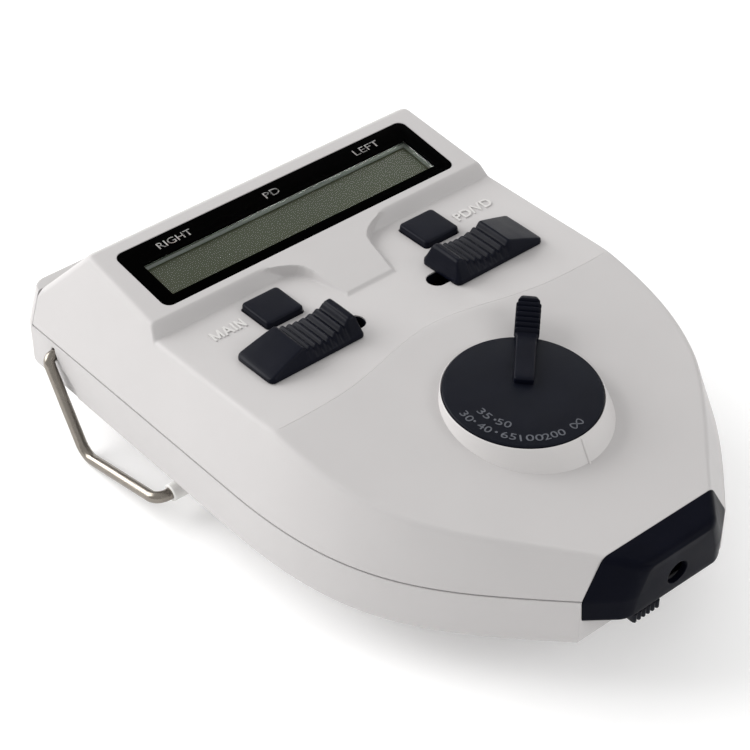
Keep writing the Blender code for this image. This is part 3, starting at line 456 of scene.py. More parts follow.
def section(y, inset, lean, r_fillet, lip):
    """Half section at y from the parting edge up to the centre line, as (x, z)."""
    zs = np.arange(0.0, 37.0, 0.5)
    xs = half_width(y, zs, inset)
    tz = top_z(xs, y) - inset * lean
    k = int(np.argmax(zs >= tz)) if np.any(zs >= tz) else len(zs) - 1
    k = max(k, 1)
    a, b = (zs - tz)[k - 1], (zs - tz)[k]
    f = a / (a - b) if a != b else 0.0
    corner = np.array([xs[k - 1] + f * (xs[k] - xs[k - 1]), zs[k - 1] + f * 0.5])
    low = 0.15 if not inset else 0.15
    # along the side
    t_side = min(r_fillet, 0.45 * corner[1])
    z1 = corner[1] - t_side
    side_z = np.concatenate([[low, low + 0.3], np.linspace(low + 0.9, z1, 9)])
    side = np.stack([half_width(y, side_z, inset), side_z], 1)
    side[0, 0] -= lip
    x2 = corner[0] - r_fillet
    p1, p2 = side[-1], np.array([x2, float(top_z(x2, y)) - inset * lean])
    arc = []
    for q in (0.12, 0.25, 0.38, 0.5, 0.62, 0.75, 0.88):
        arc.append((1 - q) ** 2 * p1 + 2 * (1 - q) * q * corner + q * q * p2)
    tx = us * x2
    top = np.stack([tx, top_z(tx, y) - inset * lean], 1)
    return np.vstack([side, arc, top])


def grid(y_list, inset):
    out = []
    for y in y_list:
        rear = float(step(131.0, 136.0, y))
        lean = 1 + 0.47 * rear
        r = (1.7 + 1.9 * rear) if not inset else 1.0
        r *= 1 if y > -50 else 0.75
        half = section(float(y), inset, lean, r, 0.0 if inset else 0.28)
        full = np.vstack([half, [(-x, z) for x, z in half[-2::-1]]])
        out.append([(x, y, z) for x, z in full])
    return out


outer = grid(rows, 0.0)
inner_rows = Y_NOSE + WALL + (rows - Y_NOSE) * (Y_SEAM - Y_NOSE - WALL) / (Y_SEAM - Y_NOSE)
inner = grid(inner_rows, WALL)
n = len(outer[0])
m = len(outer)
pts = [p for r in outer for p in r] + [p for r in inner for p in r]
off = m * n
faces = []
for j in range(m - 1):
    for i in range(n - 1):
        a = j * n + i
        faces.append((a, a + 1, a + n + 1, a + n))
        faces.append((off + a, off + a + n, off + a + n + 1, off + a + 1))
    for i in (0, n - 1):
        a = j * n + i
        faces.append((a, a + n, off + a + n, off + a))
faces.append(tuple(range(n)))
faces.append(tuple(off + i for i in range(n)))
faces.append((0, n - 1, off + n - 1, off))
last = (m - 1) * n
for i in range(n - 1):
    faces.append((last + i, last + i + 1, off + last + i + 1, off + last + i))
upper = raw("upper_shell", pts, faces)

BUTTON_X, BUTTON_Y, BUTTON_W, BUTTON_D = 33.2, 81.2, 14.6, 14.2
SLOT_X, SLOT_Y, SLOT_R = (13.8, 52.0), 59.2, 3.7
cut = [shape(prism("pocket", rounded((-61.4, 61.4), (99.3, 128.29), 3.1, 8), "z", -1.25, 9), in_plateau)]
for sx in (1, -1):
    c = sx * BUTTON_X
    cut.append(prism("keyway", rounded((c - BUTTON_W / 2 - 0.3, c + BUTTON_W / 2 + 0.3), (BUTTON_Y - BUTTON_D / 2 - 0.3, BUTTON_Y + BUTTON_D / 2 + 0.3), 1.3, 6), "z", 18, 33))
    xs = sorted((sx * SLOT_X[0], sx * SLOT_X[1]))
    cut.append(prism("slot", rounded(xs, (SLOT_Y - SLOT_R, SLOT_Y + SLOT_R), SLOT_R - 0.01, 10), "z", 18, 33))
cut.append(shape(lathe("shaft_hole", [(0, -16), (3.3, -16), (3.3, 4), (0, 4)], segments=32), in_dial))
cut.append(lathe("sight_hole", [(0, -70), (6.3, -70), (6.3, -50), (0, -50)], "y", (0, -0.3), 32))
boolean(upper, join("cutters", cut))
boolean(upper, shape(prism("light", [(-56.8, 102.5), (56.8, 102.5), (56.8, 120.8), (-56.8, 120.8)], "z", -9, 9), in_plateau))
piece(upper, "case", BODY, "upper_case", sharp=32, weighted=True)

# dark sleeves inside the two slots
for sx, name in ((-1, "left_slot_sleeve"), (1, "right_slot_sleeve")):
    xs = sorted((sx * SLOT_X[0], sx * SLOT_X[1]))
    sleeve = prism(name, rounded((xs[0] + 0.01, xs[1] - 0.01), (SLOT_Y - SLOT_R + 0.01, SLOT_Y + SLOT_R - 0.01), SLOT_R - 0.02, 10), "z", 22.2, 25.95)
    boolean(sleeve, prism("sleeve_hole", rounded((xs[0] + 0.25, xs[1] - 0.25), (SLOT_Y - SLOT_R + 0.25, SLOT_Y + SLOT_R - 0.25), SLOT_R - 0.27, 10), "z", 20, 30))
    piece(sleeve, "case", BLACK, sharp=40)

# thin bead along the crease
bead = []
for x in np.linspace(-78.0, 78.0, 157):
    yc = float(np.interp(abs(x), FX, FY))
    limit = float(half_width(yc, 26.6)) - 1.9
    if abs(x) > limit:
        continue
    bead.append([(x, yc + dy, float(top_z(x, yc)) + dz) for dy, dz in ((-0.3, -0.35), (-0.28, -0.02), (-0.1, 0.045), (0.1, 0.045), (0.28, -0.02), (0.3, -0.35))])
piece(loft("crease_bead", bead), "case", BODY, sharp=60)

# raised seat under the dial, leaning toward the nose
R0, FL = 25.3, 0.30


def on_seat(p):
    lean = 0.35 * max(0.0, -p[2] - 0.6)
    return in_dial((p[0], p[1] - lean, p[2]))


prof = [(3.4, -2.1), (25.22, -2.1), (25.22, -0.78), (25.28, -0.64), (25.42, -0.6), (25.56, -0.7), (25.64, -0.92)]
prof += [(R0 + 0.29 + FL * (d - 0.92), -d) for d in (2.0, 3.0, 4.5, 6.0, 7.5, 9.0, 10.5)]
prof += [(R0 + 0.29 + FL * 9.58 - 1.8, -10.5), (R0 - 2.0, -4.2), (3.4, -4.2)]
seat = shape(lathe("dial_seat", prof, segments=144), on_seat)
# The seat takes the lightened plastic: painted light on a piece of the shell
piece(seat, "case", SEAT_PAINTED_LIGHT, sharp=40)
tick = []
for k in range(9):
    h = -0.75 - 8.6 * k / 8
    r = R0 + 0.25 + FL * (-h - 0.92)
    tick.append([(x, -math.sqrt(r * r - x * x) + dy, h) for x, dy in ((-0.5, 0.3), (-0.44, -0.3), (-0.3, -0.55), (0.3, -0.55), (0.44, -0.3), (0.5, 0.3))])
# The index tick's light line is a painted highlight that comes from the lightened seat plastic
piece(shape(loft("index_mark", tick), on_seat), "case", SEAT_PAINTED_LIGHT, sharp=60)

# ------------------------------------------------------------------ lower case
def full_outline(inset, z=0.0, rear=True):
    p = OP - ON * (inset + OD * max(z, 0))[:, None]
    p[0, 0] += (Y_NOSE - p[0, 1]) * (-ON[0][1] / ON[0][0]) if ON[0][0] else 0
    p[0, 1] = Y_NOSE + min(inset, 3)
    keep = [q for q in p[1:] if q[1] > p[0, 1] + 0.2]
    s = OP - ON * (inset + OD * max(z, 0))[:, None]
    s = np.vstack([s[0] - tan0 * 20, s])
    x0 = np.interp(p[0, 1], s[:, 1], s[:, 0])
    half = [(x0, p[0, 1])] + [tuple(q) for q in keep]
    dx = inset + DRAFT_SIDE * max(z, 0)
    r = max(5.5 - inset, 0.8)
    for k in range(11):
        a = math.radians(90 * k / 10)
        half.append((HALF_W - dx - r + r * math.cos(a), Y_REAR - inset - r + r * math.sin(a)))
    count = 112
    half = np.array(half)
    s = np.concatenate([[0], np.cumsum(np.linalg.norm(np.diff(half, axis=0), axis=1))])
    fixed = np.concatenate([np.linspace(0, 0.62, 70), np.linspace(0.63, 0.955, 18), np.linspace(0.96, 1.0, count - 88)]) * s[-1]
    hx, hy = np.interp(fixed, s, half[:, 0]), np.interp(fixed, s, half[:, 1])
    pts = list(zip(hx, hy))
    return pts + [(-x, y) for x, y in pts[::-1]]


def ring(inset, z):
    return [(x, y, z) for x, y in full_outline(inset, z)]


lower = loft("lower_shell", [ring(1.3, Z_FLOOR), ring(0.75, Z_FLOOR + 0.12), ring(0.3, Z_FLOOR + 0.45), ring(0.06, Z_FLOOR + 0.95), ring(0, Z_FLOOR + 1.5),
                             ring(0, -6.0), ring(0, 0.0), ring(0, 6.0), ring(0, Z_REAR_TOP - 0.7), ring(0.2, Z_REAR_TOP - 0.2), ring(0.7, Z_REAR_TOP)])
lip = [(-120, 200), (-120, Y_SEAM + 0.15), (120, Y_SEAM + 0.15), (120, 200)]
space = loft("space", [[(x, y, z) for x, y in ((-120, -120), (120, -120), (120, Y_SEAM + 0.15), (-120, Y_SEAM + 0.15))] for z in (-0.15, 60)])
boolean(lower, space)
boolean(lower, loft("inside", [[(x, y, Z_FLOOR + WALL) for x, y in full_outline(WALL, 0)], [(x, y, 0.0) for x, y in full_outline(WALL, 0)], ring(WALL, Z_REAR_TOP - WALL)]))
cut = []
for sx in (1, -1):
    a, b = (72.0, 90.0) if sx > 0 else (-90.0, -72.0)
    cut.append(lathe("pin_hole", [(0, a), (2.45, a), (2.45, b), (0, b)], "x", (142.8, -6.1), 32))
    cut.append(lathe("view", [(0, 150), (9.7, 150), (9.7, 170), (0, 170)], "y", (sx * 31.5, -2.13), 48))
    for x, y in ((60.0, 147.0), (33.0, -43.0)):
        cut.append(lathe("bore", [(0, Z_FLOOR - 2), (3.1, Z_FLOOR - 2), (3.1, Z_FLOOR + 4), (0, Z_FLOOR + 4)], "z", (sx * x, y), 24))
cut.append(prism("door_hole", [(38.7, -3.3), (72.3, -3.3), (72.3, 56.3), (38.7, 56.3)], "z", Z_FLOOR - 2, Z_FLOOR + 4))
cut.append(lathe("sight_hole", [(0, -70), (6.3, -70), (6.3, -50), (0, -50)], "y", (0, -0.3), 32))
boolean(lower, join("cutters", cut))
for sx in (1, -1):
    edge = [(141.9, -0.62), (141.3, -4.4), (140.5, -7.6), (138.6, -9.0), (135.8, -10.2), (132.6, -11.9), (131.2, -13.4), (130.2, -15.4), (129.6, -20), (170, -20), (170, -0.62)]
    x0, x1 = HALF_W - 0.9, 99.0
    rings = [[(sx * x0, y + 0.5, z) for y, z in edge], [(sx * (HALF_W + 0.01), y - 0.35, z) for y, z in edge], [(sx * x1, y - 0.35, z) for y, z in edge]]
    boolean(lower, loft("recess", rings))
piece(lower, "case", BODY, "lower_case", sharp=32, weighted=True)

# ------------------------------------------------------------------ nose cap
NOSE_BACK = [(22.9, 13.35), (30.5, 0.0), (29.9, -8.3), (-29.9, -8.3), (-30.5, 0.0), (-22.9, 13.35)]
NOSE_FRONT = [(14.6, 11.9), (18.4, 0.0), (19.0, -8.4), (-19.0, -8.4), (-18.4, 0.0), (-14.6, 11.9)]
NOSE_R = [3.6, 4.6, 1.2, 1.2, 4.6, 3.6]


def round_poly(poly, radii, steps=7, shrink=0.0):
    """Closed polygon with its corners rounded, each corner given the same number of points."""
    pts_, n_ = [np.array(q, float) for q in poly], len(poly)
    centre = sum(pts_) / n_
    out = []
    for i in range(n_):
        a, b_, c_ = pts_[i - 1], pts_[i], pts_[(i + 1) % n_]
        u, v = (a - b_) / np.linalg.norm(a - b_), (c_ - b_) / np.linalg.norm(c_ - b_)
        th = math.acos(max(-1, min(1, float(u @ v))))
        t = radii[i] / math.tan(th / 2)
        for k in range(steps + 1):
            q = k / steps
            pt = (1 - q) ** 2 * (b_ + u * t) + 2 * (1 - q) * q * b_ + q * q * (b_ + v * t)
            if shrink:
                e = centre - pt
                pt = pt + e / np.linalg.norm(e) * shrink
            out.append(pt)
    return out


def front_y(z):
    return -67.3 - 1.6 * (z + 8.6) / 20.7


back_ring = round_poly(NOSE_BACK, NOSE_R)
rings = []
for q in (0.0, 0.25, 0.5, 0.7):
    front_ring = round_poly(NOSE_FRONT, NOSE_R)
    rings.append([(b_[0] + (f[0] - b_[0]) * q, (Y_NOSE - 0.06) + (front_y(f[1]) - Y_NOSE + 0.06) * q, b_[1] + (f[1] - b_[1]) * q) for b_, f in zip(back_ring, front_ring)])
for k in range(0, 9):
    ang_ = math.radians(90 * k / 8)
    inset = 2.4 * (1 - math.cos(ang_))
    q = 0.74 + 0.26 * math.sin(ang_)
    front_ring = round_poly(NOSE_FRONT, NOSE_R, shrink=inset)
    rest = round_poly(NOSE_FRONT, NOSE_R)
    ring_ = []
    for b_, f, g in zip(back_ring, rest, front_ring):
        x, z = b_[0] + (f[0] - b_[0]) * q, b_[1] + (f[1] - b_[1]) * q
        ring_.append((x + (g[0] - f[0]), (Y_NOSE - 0.06) + (front_y(f[1]) - Y_NOSE + 0.06) * q, z + (g[1] - f[1])))
    rings.append(ring_)
for extra in (4.5, 7.0):
    front_ring = round_poly(NOSE_FRONT, [1.5] * 6, shrink=extra)
    rings.append([(g[0], front_y(g[1]), g[1]) for g in front_ring])
nose = loft("nose_shell", rings)
bm = bmesh.new()
for s in (1, -1):
    for p in ((s * 18.5, Y_NOSE + 3, 10.9), (s * 26.5, Y_NOSE + 3, 0.0), (s * 26.0, Y_NOSE + 3, -6.2), (s * 11.0, -66.4, 9.6), (s * 15.0, -65.6, -6.2)):
        bm.verts.new(p)
bmesh.ops.convex_hull(bm, input=bm.verts)
bmesh.ops.recalc_face_normals(bm, faces=bm.faces)
mesh = bpy.data.meshes.new("hollow")
bm.to_mesh(mesh)
bm.free()
hollow = bpy.data.objects.new("hollow", mesh)
bpy.context.scene.collection.objects.link(hollow)
boolean(nose, hollow)
eye = lathe("eye_hole", [(0, -75), (5.1, -75), (5.1, -68.9), (4.9, -68.55), (4.2, -68.1), (3.95, -67.6), (3.9, -60), (0, -60)], "y", (0, -0.3), 64)
knob_slot = prism("knob_slot", [(-15, -65.6), (15, -65.6), (15, -63.4), (-15, -63.4)], "z", -12, -5)
boolean(nose, join("cutters", [eye, knob_slot]))
piece(nose, "case", NOSE, "nose_cap", sharp=28, weighted=True)

# ------------------------------------------------------------------ display
bez = loft("bezel_plate", [[(x, y, z) for x, y in rounded((-61.25 + i, 61.25 - i), (99.45 + i, 128.14 - i), 3.0, 10)] for i, z in ((0, -1.15), (0, -0.12), (0.06, 0.0), (0.22, 0.05))])
hole = loft("glass_hole", [[(x, y, z) for x, y in rounded((-55.8 - g, 55.8 + g), (103.5 - g, 119.8 + g), 0.25, 3)] for g, z in ((0, -3), (0, -0.2), (0.35, 0.2), (0.5, 1))])
boolean(bez, hole)
piece(shape(bez, in_plateau), "case", GLOSS, "display_bezel", sharp=30)
ringo = prism("cell_frame", [(-56.35, 103.0), (56.35, 103.0), (56.35, 120.3), (-56.35, 120.3)], "z", -2.8, -2.5)
boolean(ringo, prism("frame_hole", rounded((-55.0, 55.1), (104.1, 119.1), 0.2, 2), "z", -5, 5))
piece(shape(ringo, in_plateau), "case", FRAME, sharp=30)


def lettering(name, text, centre, width, height, ex, ey, normal, raise_mm, depth_mm, bold=0.0):
    """Raised letters: the word fills width x height about centre, along ex and ey."""
    curve = bpy.data.curves.new(name, "FONT")
    curve.body = text
    curve.size = 1.0
    curve.extrude = 0.5
    curve.offset = bold
    curve.resolution_u = 4
    obj = bpy.data.objects.new(name, curve)
    bpy.context.scene.collection.objects.link(obj)
    graph = bpy.context.evaluated_depsgraph_get()
    mesh = bpy.data.meshes.new_from_object(obj.evaluated_get(graph))
    bpy.data.objects.remove(obj)
    out = bpy.data.objects.new(name, mesh)
    bpy.context.scene.collection.objects.link(out)
    co = np.array([v.co for v in mesh.vertices])
    lo_, hi_ = co.min(0), co.max(0)
    ex, ey, normal, centre = (np.array(q, float) for q in (ex, ey, normal, centre))
    for v in mesh.vertices:
        u = ((v.co[0] - lo_[0]) / (hi_[0] - lo_[0]) - 0.5) * width
        w = ((v.co[1] - lo_[1]) / (hi_[1] - lo_[1]) - 0.5) * height
        h = raise_mm if v.co[2] > 0 else -depth_mm
        v.co = Vector(tuple(centre + u * ex + w * ey + h * normal))
    return out


a8 = math.atan(0.138)
pe, pn = (0, math.cos(a8), math.sin(a8)), (0, -math.sin(a8), math.cos(a8))
for word, x0, x1 in (("RIGHT", -46.8, -33.2), ("PD", -2.8, 3.3), ("LEFT", 36.4, 47.1)):
    c = in_plateau((0.5 * (x0 + x1), 123.75, 0.0))
    piece(lettering("legend_" + word.lower(), word, c, x1 - x0, 2.9, (1, 0, 0), pe, pn, 0.05, 0.02, 0.0), "case", INK, sharp=40)
strokes = []
for x0, pairs in ((-56.6, (((0.4, 0), (0.4, 4.3)), ((0.4, 4.2), (1.95, 0.3)), ((1.95, 0.3), (3.5, 4.2)), ((3.5, 0), (3.5, 4.3)))),
                  (-52.3, (((0.3, 0), (1.75, 4.2)), ((1.75, 4.2), (3.2, 0)), ((0.8, 1.45), (2.7, 1.45)))),
                  (-48.3, (((0.4, 0), (0.4, 4.3)),)), (-46.9, (((0.4, 0), (0.4, 4.3)), ((0.4, 4.2), (2.6, 0.1)), ((2.6, 0), (2.6, 4.3))))):
    for (a_, b_), (c_, d_) in pairs:
        t = np.array([c_ - a_, d_ - b_], float)
        t /= np.linalg.norm(t)
        w_ = np.array([-t[1], t[0]]) * 0.33
        base_z = float(top_z(50.0, 82.4))
        quad = [np.array([x0 + a_, 80.25 + b_]) + w_, np.array([x0 + a_, 80.25 + b_]) - w_, np.array([x0 + c_, 80.25 + d_]) - w_, np.array([x0 + c_, 80.25 + d_]) + w_]
        strokes.append(prism("stroke", [tuple(q) for q in quad], "z", base_z - 0.12, base_z + 0.4 + 0.003 * len(strokes)))
# MAIN strokes in the lightened plastic: painted highlight on raised letters
piece(join("label_main", strokes), "case", LABEL_PAINTED_HIGHLIGHT, sharp=20)
for word, name, x0, x1, yc in (("PD/VD", "mode", 44.7, 60.3, 80.7),):
    c = (0.5 * (x0 + x1), yc, float(top_z(50.0, yc)))
    # PD/VD letters in the lightened plastic: painted highlight on raised letters
    piece(lettering("label_" + name, word, c, x1 - x0, 4.3, (1, 0, 0), (0, 1, 0), (0, 0, 1), 0.4, 0.12, 0.014), "case", LABEL_PAINTED_HIGHLIGHT, sharp=20)

# ------------------------------------------------------------------ keys
for sx, name, body, node in ((-1, "main_keycap", "main_key", "main_button"), (1, "mode_keycap", "mode_key", "mode_button")):
    c = sx * BUTTON_X
    w, d = BUTTON_W / 2, BUTTON_D / 2
    rings = []
    for inset, z in ((-0.9, 22.4), (-0.9, 23.1), (0, 23.15), (0, 27.6), (0.05, 28.0), (0.16, 28.27), (0.38, 28.44), (0.7, 28.53), (1.3, 28.58), (3.5, 28.63), (5.8, 28.66)):
        rings.append([(x, y, z) for x, y in rounded((c - w + inset, c + w - inset), (BUTTON_Y - d + inset, BUTTON_Y + d - inset), max(1.25 - max(inset, 0) * 0.15, 0.3), 6)])
    piece(loft(name, rings), body, BLACK, node, sharp=35)


# ------------------------------------------------------------------ sliders
def panel_z(y):
    return 26.2 + (69.5 - y) * 0.8 / 35.5


def cap_top(x):
    """Top height and half width of a slider cap at |x|."""
    xs = [19.5, 20.4, 21.4, 22.2, 23.7, 24.1, 43.4, 44.2, 50.0, 55.6, 56.6, 57.2]
    zs = [27.6, 30.0, 33.9, 34.5, 34.35, 34.0, 33.35, 33.1, 31.1, 29.0, 28.55, 28.0]
    hs = [7.4, 7.0, 5.9, 5.8, 5.85, 5.9, 7.1, 7.25, 7.8, 8.3, 8.2, 7.2]
    z, h = float(np.interp(x, xs, zs)), float(np.interp(x, xs, hs))
    if 24.1 < x < 43.4:
        u = (43.4 - x) / 19.3
        z = 33.35 + 0.65 * u - 9.0 * u * (1 - u)
        if 24.5 < x < 42.9:
            ph = ((42.9 - x) / 2.629) % 1.0
            z -= 1.15 * (0.5 - 0.5 * math.cos(2 * math.pi * ph)) ** 1.0
    return z, h


st = np.unique(np.round(np.concatenate([np.linspace(19.5, 22.8, 16), np.linspace(22.8, 24.1, 8), np.linspace(24.1, 43.4, 140), np.linspace(43.4, 55, 14), np.linspace(55, 57.2, 14)]), 4))
rings = []
for x in st:
    z, h = cap_top(float(x))
    e0, e1 = (x - 19.5) / 1.9, (57.2 - x) / 1.9
    q = min(1.0, e0, e1)
    base = 9.05 - 1.9 * (1 - math.sqrt(max(0.0, 1 - (1 - q) ** 2)))
    h = min(h, base - 0.15)
    rr = 0.75
    pts_ = []
    zb = panel_z(60.2) + 0.3
    rim = min(1.5, (z - zb) * 0.45)
    half = [(base, 0.0), (base, rim * 0.5), (base, rim), (base - 0.12, rim + 0.25)]
    p1, p2, cor = np.array([h + 0.35 + (base - h - 0.35) * 0.15, None], dtype=object), None, None
    half = [(hh, panel_z(60.2) + 0.3 + zz) for hh, zz in half]
    top_c = np.array([h + 0.15, z])
    down = np.array([half[-1][0], half[-1][1]]) - top_c
    ln = np.linalg.norm(down)
    down = down / ln
    t = min(rr, ln * 0.6)
    s1, s2 = top_c + down * t, top_c + np.array([-t, 0.0])
    for k in (0.0, 0.2, 0.4, 0.6, 0.8, 1.0):
        b = (1 - k) ** 2 * s1 + 2 * (1 - k) * k * top_c + k * k * s2
        half.append((float(b[0]), float(b[1])))
    half += [(h * 0.5, z + 0.05), (0.0, z + 0.07)]
    sec = [(60.2 - hh, zz) for hh, zz in half] + [(60.2 + hh, zz) for hh, zz in half[-2::-1]]
    fixed = []
    for y, zz in sec:
        fixed.append((x, y, zz + (panel_z(y) - panel_z(60.2)) * max(0.0, 1 - (zz - zb) / 2.0)))
    rings.append(fixed)
right_cap = loft("right_slider_grip", rings)
left_cap = mirror(right_cap, "left_slider_grip")
piece(right_cap, "right_slider", BLACK, "right_slider_cap", sharp=38)
piece(left_cap, "left_slider", BLACK, "left_slider_cap", sharp=38)

# ------------------------------------------------------------------ dial and lever
DR, DT = 25.0, 1.8
prof = [(0, -0.9), (3.4, -0.9), (3.4, -DT), (DR - 0.35, -DT), (DR - 0.1, -DT + 0.1), (DR, -DT + 0.35), (DR, -0.5), (DR - 0.08, -0.22), (DR - 0.25, -0.06), (DR - 0.5, 0.0), (12, 0.0), (0, 0)]
piece(shape(lathe("dial_plate", prof, segments=192), in_dial), "dial", DISC, "dial_disc", sharp=40)

ang = math.radians(45.5)
ax, ay = math.sin(ang), math.cos(ang)


def arm(half, low, high, r):
    """Rounded section: (across, height)."""
    out = [(-half, low), (-half, high - r)]
    for k in range(1, 7):
        b = math.radians(90 * k / 6)
        out.append((-half + r - r * math.cos(b), high - r + r * math.sin(b)))
    for k in range(0, 6):
        b = math.radians(90 * k / 6)
        out.append((half - r + r * math.sin(b), high - r + r * math.cos(b)))
    return out + [(half, high - r), (half, low)]


stations = [(2.72, 2.35, 0.06, 1.7, 0.4), (2.85, 2.7, 0.06, 1.95, 0.5), (3.2, 3.0, 0.06, 2.12, 0.6), (3.7, 3.2, 0.06, 2.2, 0.7)]
stations += [(s, 3.2, 0.06, 2.2, 0.7) for s in np.linspace(4.7, 22.4, 12)]
stations += [(23.0, 3.45, 0.06, 2.35, 0.8), (23.6, 3.8, 0.06, 2.7, 0.9)]
for s in np.linspace(24.1, 36.2, 100):
    lift = 0.12 + 3.2 * float(step(24.6, 35.4, s))
    ph = (s - 24.15) / 1.72
    hump = (0.5 - 0.5 * math.cos(2 * math.pi * ph)) ** 0.6
    tall = 2.15 + 0.55 * float(step(24.1, 27.0, s)) + 1.25 * hump
    narrow = 0.75 * float(step(33.5, 36.4, s))
    stations.append((float(s), 3.35 - narrow + 0.65 * hump, lift, lift + tall, 1.2))
for s in np.linspace(36.4, 38.9, 10):
    q = (s - 36.4) / 2.5
    k = math.sqrt(max(0.0, 1 - q * q))
    stations.append((float(s), 1.7 + 1.5 * k, 3.35 + 0.75 * (1 - k), 4.6 + 1.7 * k, 0.5 + 0.7 * k))
rings = []
for s, half_w, low, high, r in stations:
    r = min(r, (high - low) * 0.45, half_w * 0.45)
    rings.append([(s * ax + q * ay, s * ay - q * ax, h) for q, h in arm(half_w, low, high, r)])
piece(shape(loft("dial_pointer", rings), in_dial), "dial", BLACK, "dial_lever", sharp=42)

a3 = math.atan(DIAL_TILT)
dn = (0, -math.sin(a3), math.cos(a3))


def dial_mark(name, text, r, phi, width, height):
    p = math.radians(phi)
    upv = (-math.sin(p), math.cos(p), 0.0)
    exv = (math.cos(p), math.sin(p), 0.0)
    o = np.array(in_dial((0, 0, 0)))
    tr = lambda v: np.array(in_dial(v)) - o
    c = in_dial((r * math.sin(p), -r * math.cos(p), 0.0))
    obj = lettering(name, text, c, width, height, tr(exv), tr(upv), dn, 0.13, 0.05, 0.0)
    piece(obj, "dial", MARK, sharp=40)


for name, text, r, phi in (("mark_35", "35", 16.4, -88), ("mark_50", "50", 16.4, -63.5), ("mark_30", "30", 21.4, -95.0), ("mark_40", "40", 21.2, -76), ("mark_65", "65", 21.2, -54.8), ("mark_100", "100", 21.2, -36.2), ("mark_200", "200", 21.2, -17.0)):
    dial_mark(name, text, r, phi, 2.15 * len(text) + 0.35 * (len(text) - 1), 2.7)
for name, r, phi in (("dot_a", 21.0, -86.8), ("dot_b", 21.0, -65.4), ("dot_c", 16.4, -74.0)):
    p = math.radians(phi)
    piece(shape(lathe(name, [(0, -0.05), (0.42, -0.05), (0.42, 0.1), (0.32, 0.13), (0, 0.13)], "z", (r * math.sin(p), -r * math.cos(p)), 20), in_dial), "dial", MARK, sharp=50)
p = math.radians(6.5)
rings = []
for k in range(49):
    t = 2 * math.pi * k / 48
    u, w = 2.15 * math.sin(t), 1.15 * math.sin(2 * t)
    du, dw = 2.15 * math.cos(t), 2.3 * math.cos(2 * t)
    ln = math.hypot(du, dw)
    nx, ny = -dw / ln, du / ln
    ring_ = []
    for side, h in ((-0.2, -0.05), (-0.2, 0.13), (0.2, 0.13), (0.2, -0.05)):
        uu, ww = u + nx * side, w + ny * side
        rr = 21.2 - ww
        ring_.append((uu * math.cos(p) + rr * math.sin(p), uu * math.sin(p) - rr * math.cos(p), h))
    rings.append(ring_)
n4 = 4
pts = [q for r in rings[:-1] for q in r]
faces = []
for j in range(48):
    for i in range(4):
        a, b = j * 4 + i, j * 4 + (i + 1) % 4
        c, d = ((j + 1) % 48) * 4 + (i + 1) % 4, ((j + 1) % 48) * 4 + i
        faces.append((a, b, c, d))
piece(shape(raw("mark_far", pts, faces), in_dial), "dial", MARK, sharp=40)


# ------------------------------------------------------------------ occluder knob
rings = []
for x in np.linspace(-15.5, -5.0, 85):
    e = min((x + 15.5), (-5.0 - x))
    edge = 0.5 * (1 - math.sqrt(max(0.0, 1 - (1 - min(1.0, e / 0.5)) ** 2)))
    ph = (x + 15.5 - 0.5) / 1.9
    groove = 0.75 * (0.5 - 0.5 * math.cos(2 * math.pi * ph)) ** 1.3 if 0.5 < (x + 15.5) < 10.0 else 0.0
    rings.append([(x, y, z) for y, z in ((-62.2 - edge, -8.95), (-62.2 - edge, -12.2), (-62.4 - edge, -12.7 + edge * 0.5), (-63.0 - edge * 0.5, -13.0 + edge),
                                         (-65.7 + edge + groove, -13.0 + edge + groove * 0.6), (-66.5 + edge + groove, -12.6 + edge + groove * 0.3), (-66.8 + edge + groove, -12.0), (-66.8 + edge + groove, -8.95))])
piece(loft("occluder_grip", rings), "occluder", BLACK, "occluder_knob", sharp=40)


# ------------------------------------------------------------------ bail
def fillet_path(points, radii, steps):
    pts = [np.array(p, float) for p in points]
    out = [pts[0]]
    for i in range(1, len(pts) - 1):
        a, b, c = pts[i - 1], pts[i], pts[i + 1]
        u, v = (a - b) / np.linalg.norm(a - b), (c - b) / np.linalg.norm(c - b)
        th = math.acos(max(-1, min(1, float(u @ v))))
        t = radii[i - 1] / math.tan(th / 2)
        centre = b + (u + v) / np.linalg.norm(u + v) * radii[i - 1] / math.sin(th / 2)
        p, q = b + u * t, b + v * t
        e1, e2 = (p - centre) / radii[i - 1], (q - centre) / radii[i - 1]
        span = math.acos(max(-1, min(1, float(e1 @ e2))))
        for k in range(steps + 1):
            w = k / steps
            out.append(centre + (math.sin((1 - w) * span) * e1 + math.sin(w * span) * e2) / math.sin(span) * radii[i - 1])
    out.append(pts[-1])
    return out


def sweep(name, path, r, sides):
    rings, ref = [], np.array([0.0, 0.0, 1.0])
    for i, p in enumerate(path):
        t = path[min(i + 1, len(path) - 1)] - path[max(i - 1, 0)]
        t = t / np.linalg.norm(t)
        ref = ref - (ref @ t) * t
        ref = ref / np.linalg.norm(ref)
        side = np.cross(t, ref)
        rings.append([p + r * (math.cos(2 * math.pi * k / sides) * ref + math.sin(2 * math.pi * k / sides) * side) for k in range(sides)])
    return loft(name, rings)


corners = [(74.5, 142.8, -6.1), (BAIL_LEG_X, 142.8, -6.1), (BAIL_LEG_X, 124.6, -37.0), (BAIL_LEG_X, 83.0, -28.4)]
corners = corners + [(-x, y, z) for x, y, z in corners[::-1]]
piece(sweep("bail_rod", fillet_path(corners, [2.4, 7.0, 4.2, 4.2, 7.0, 2.4], 14), 1.99, 32), "bail", STEEL, "bail_wire", sharp=60)
prof = [(2.08, -76.5), (2.7, -76.5), (2.95, -76.3), (3.0, -75.9), (3.0, 75.9), (2.95, 76.3), (2.7, 76.5), (2.08, 76.5)]
piece(lathe("bail_grip", prof, "x", (83.0, -28.4), 48), "bail", WHITE, "bail_sleeve", sharp=60)

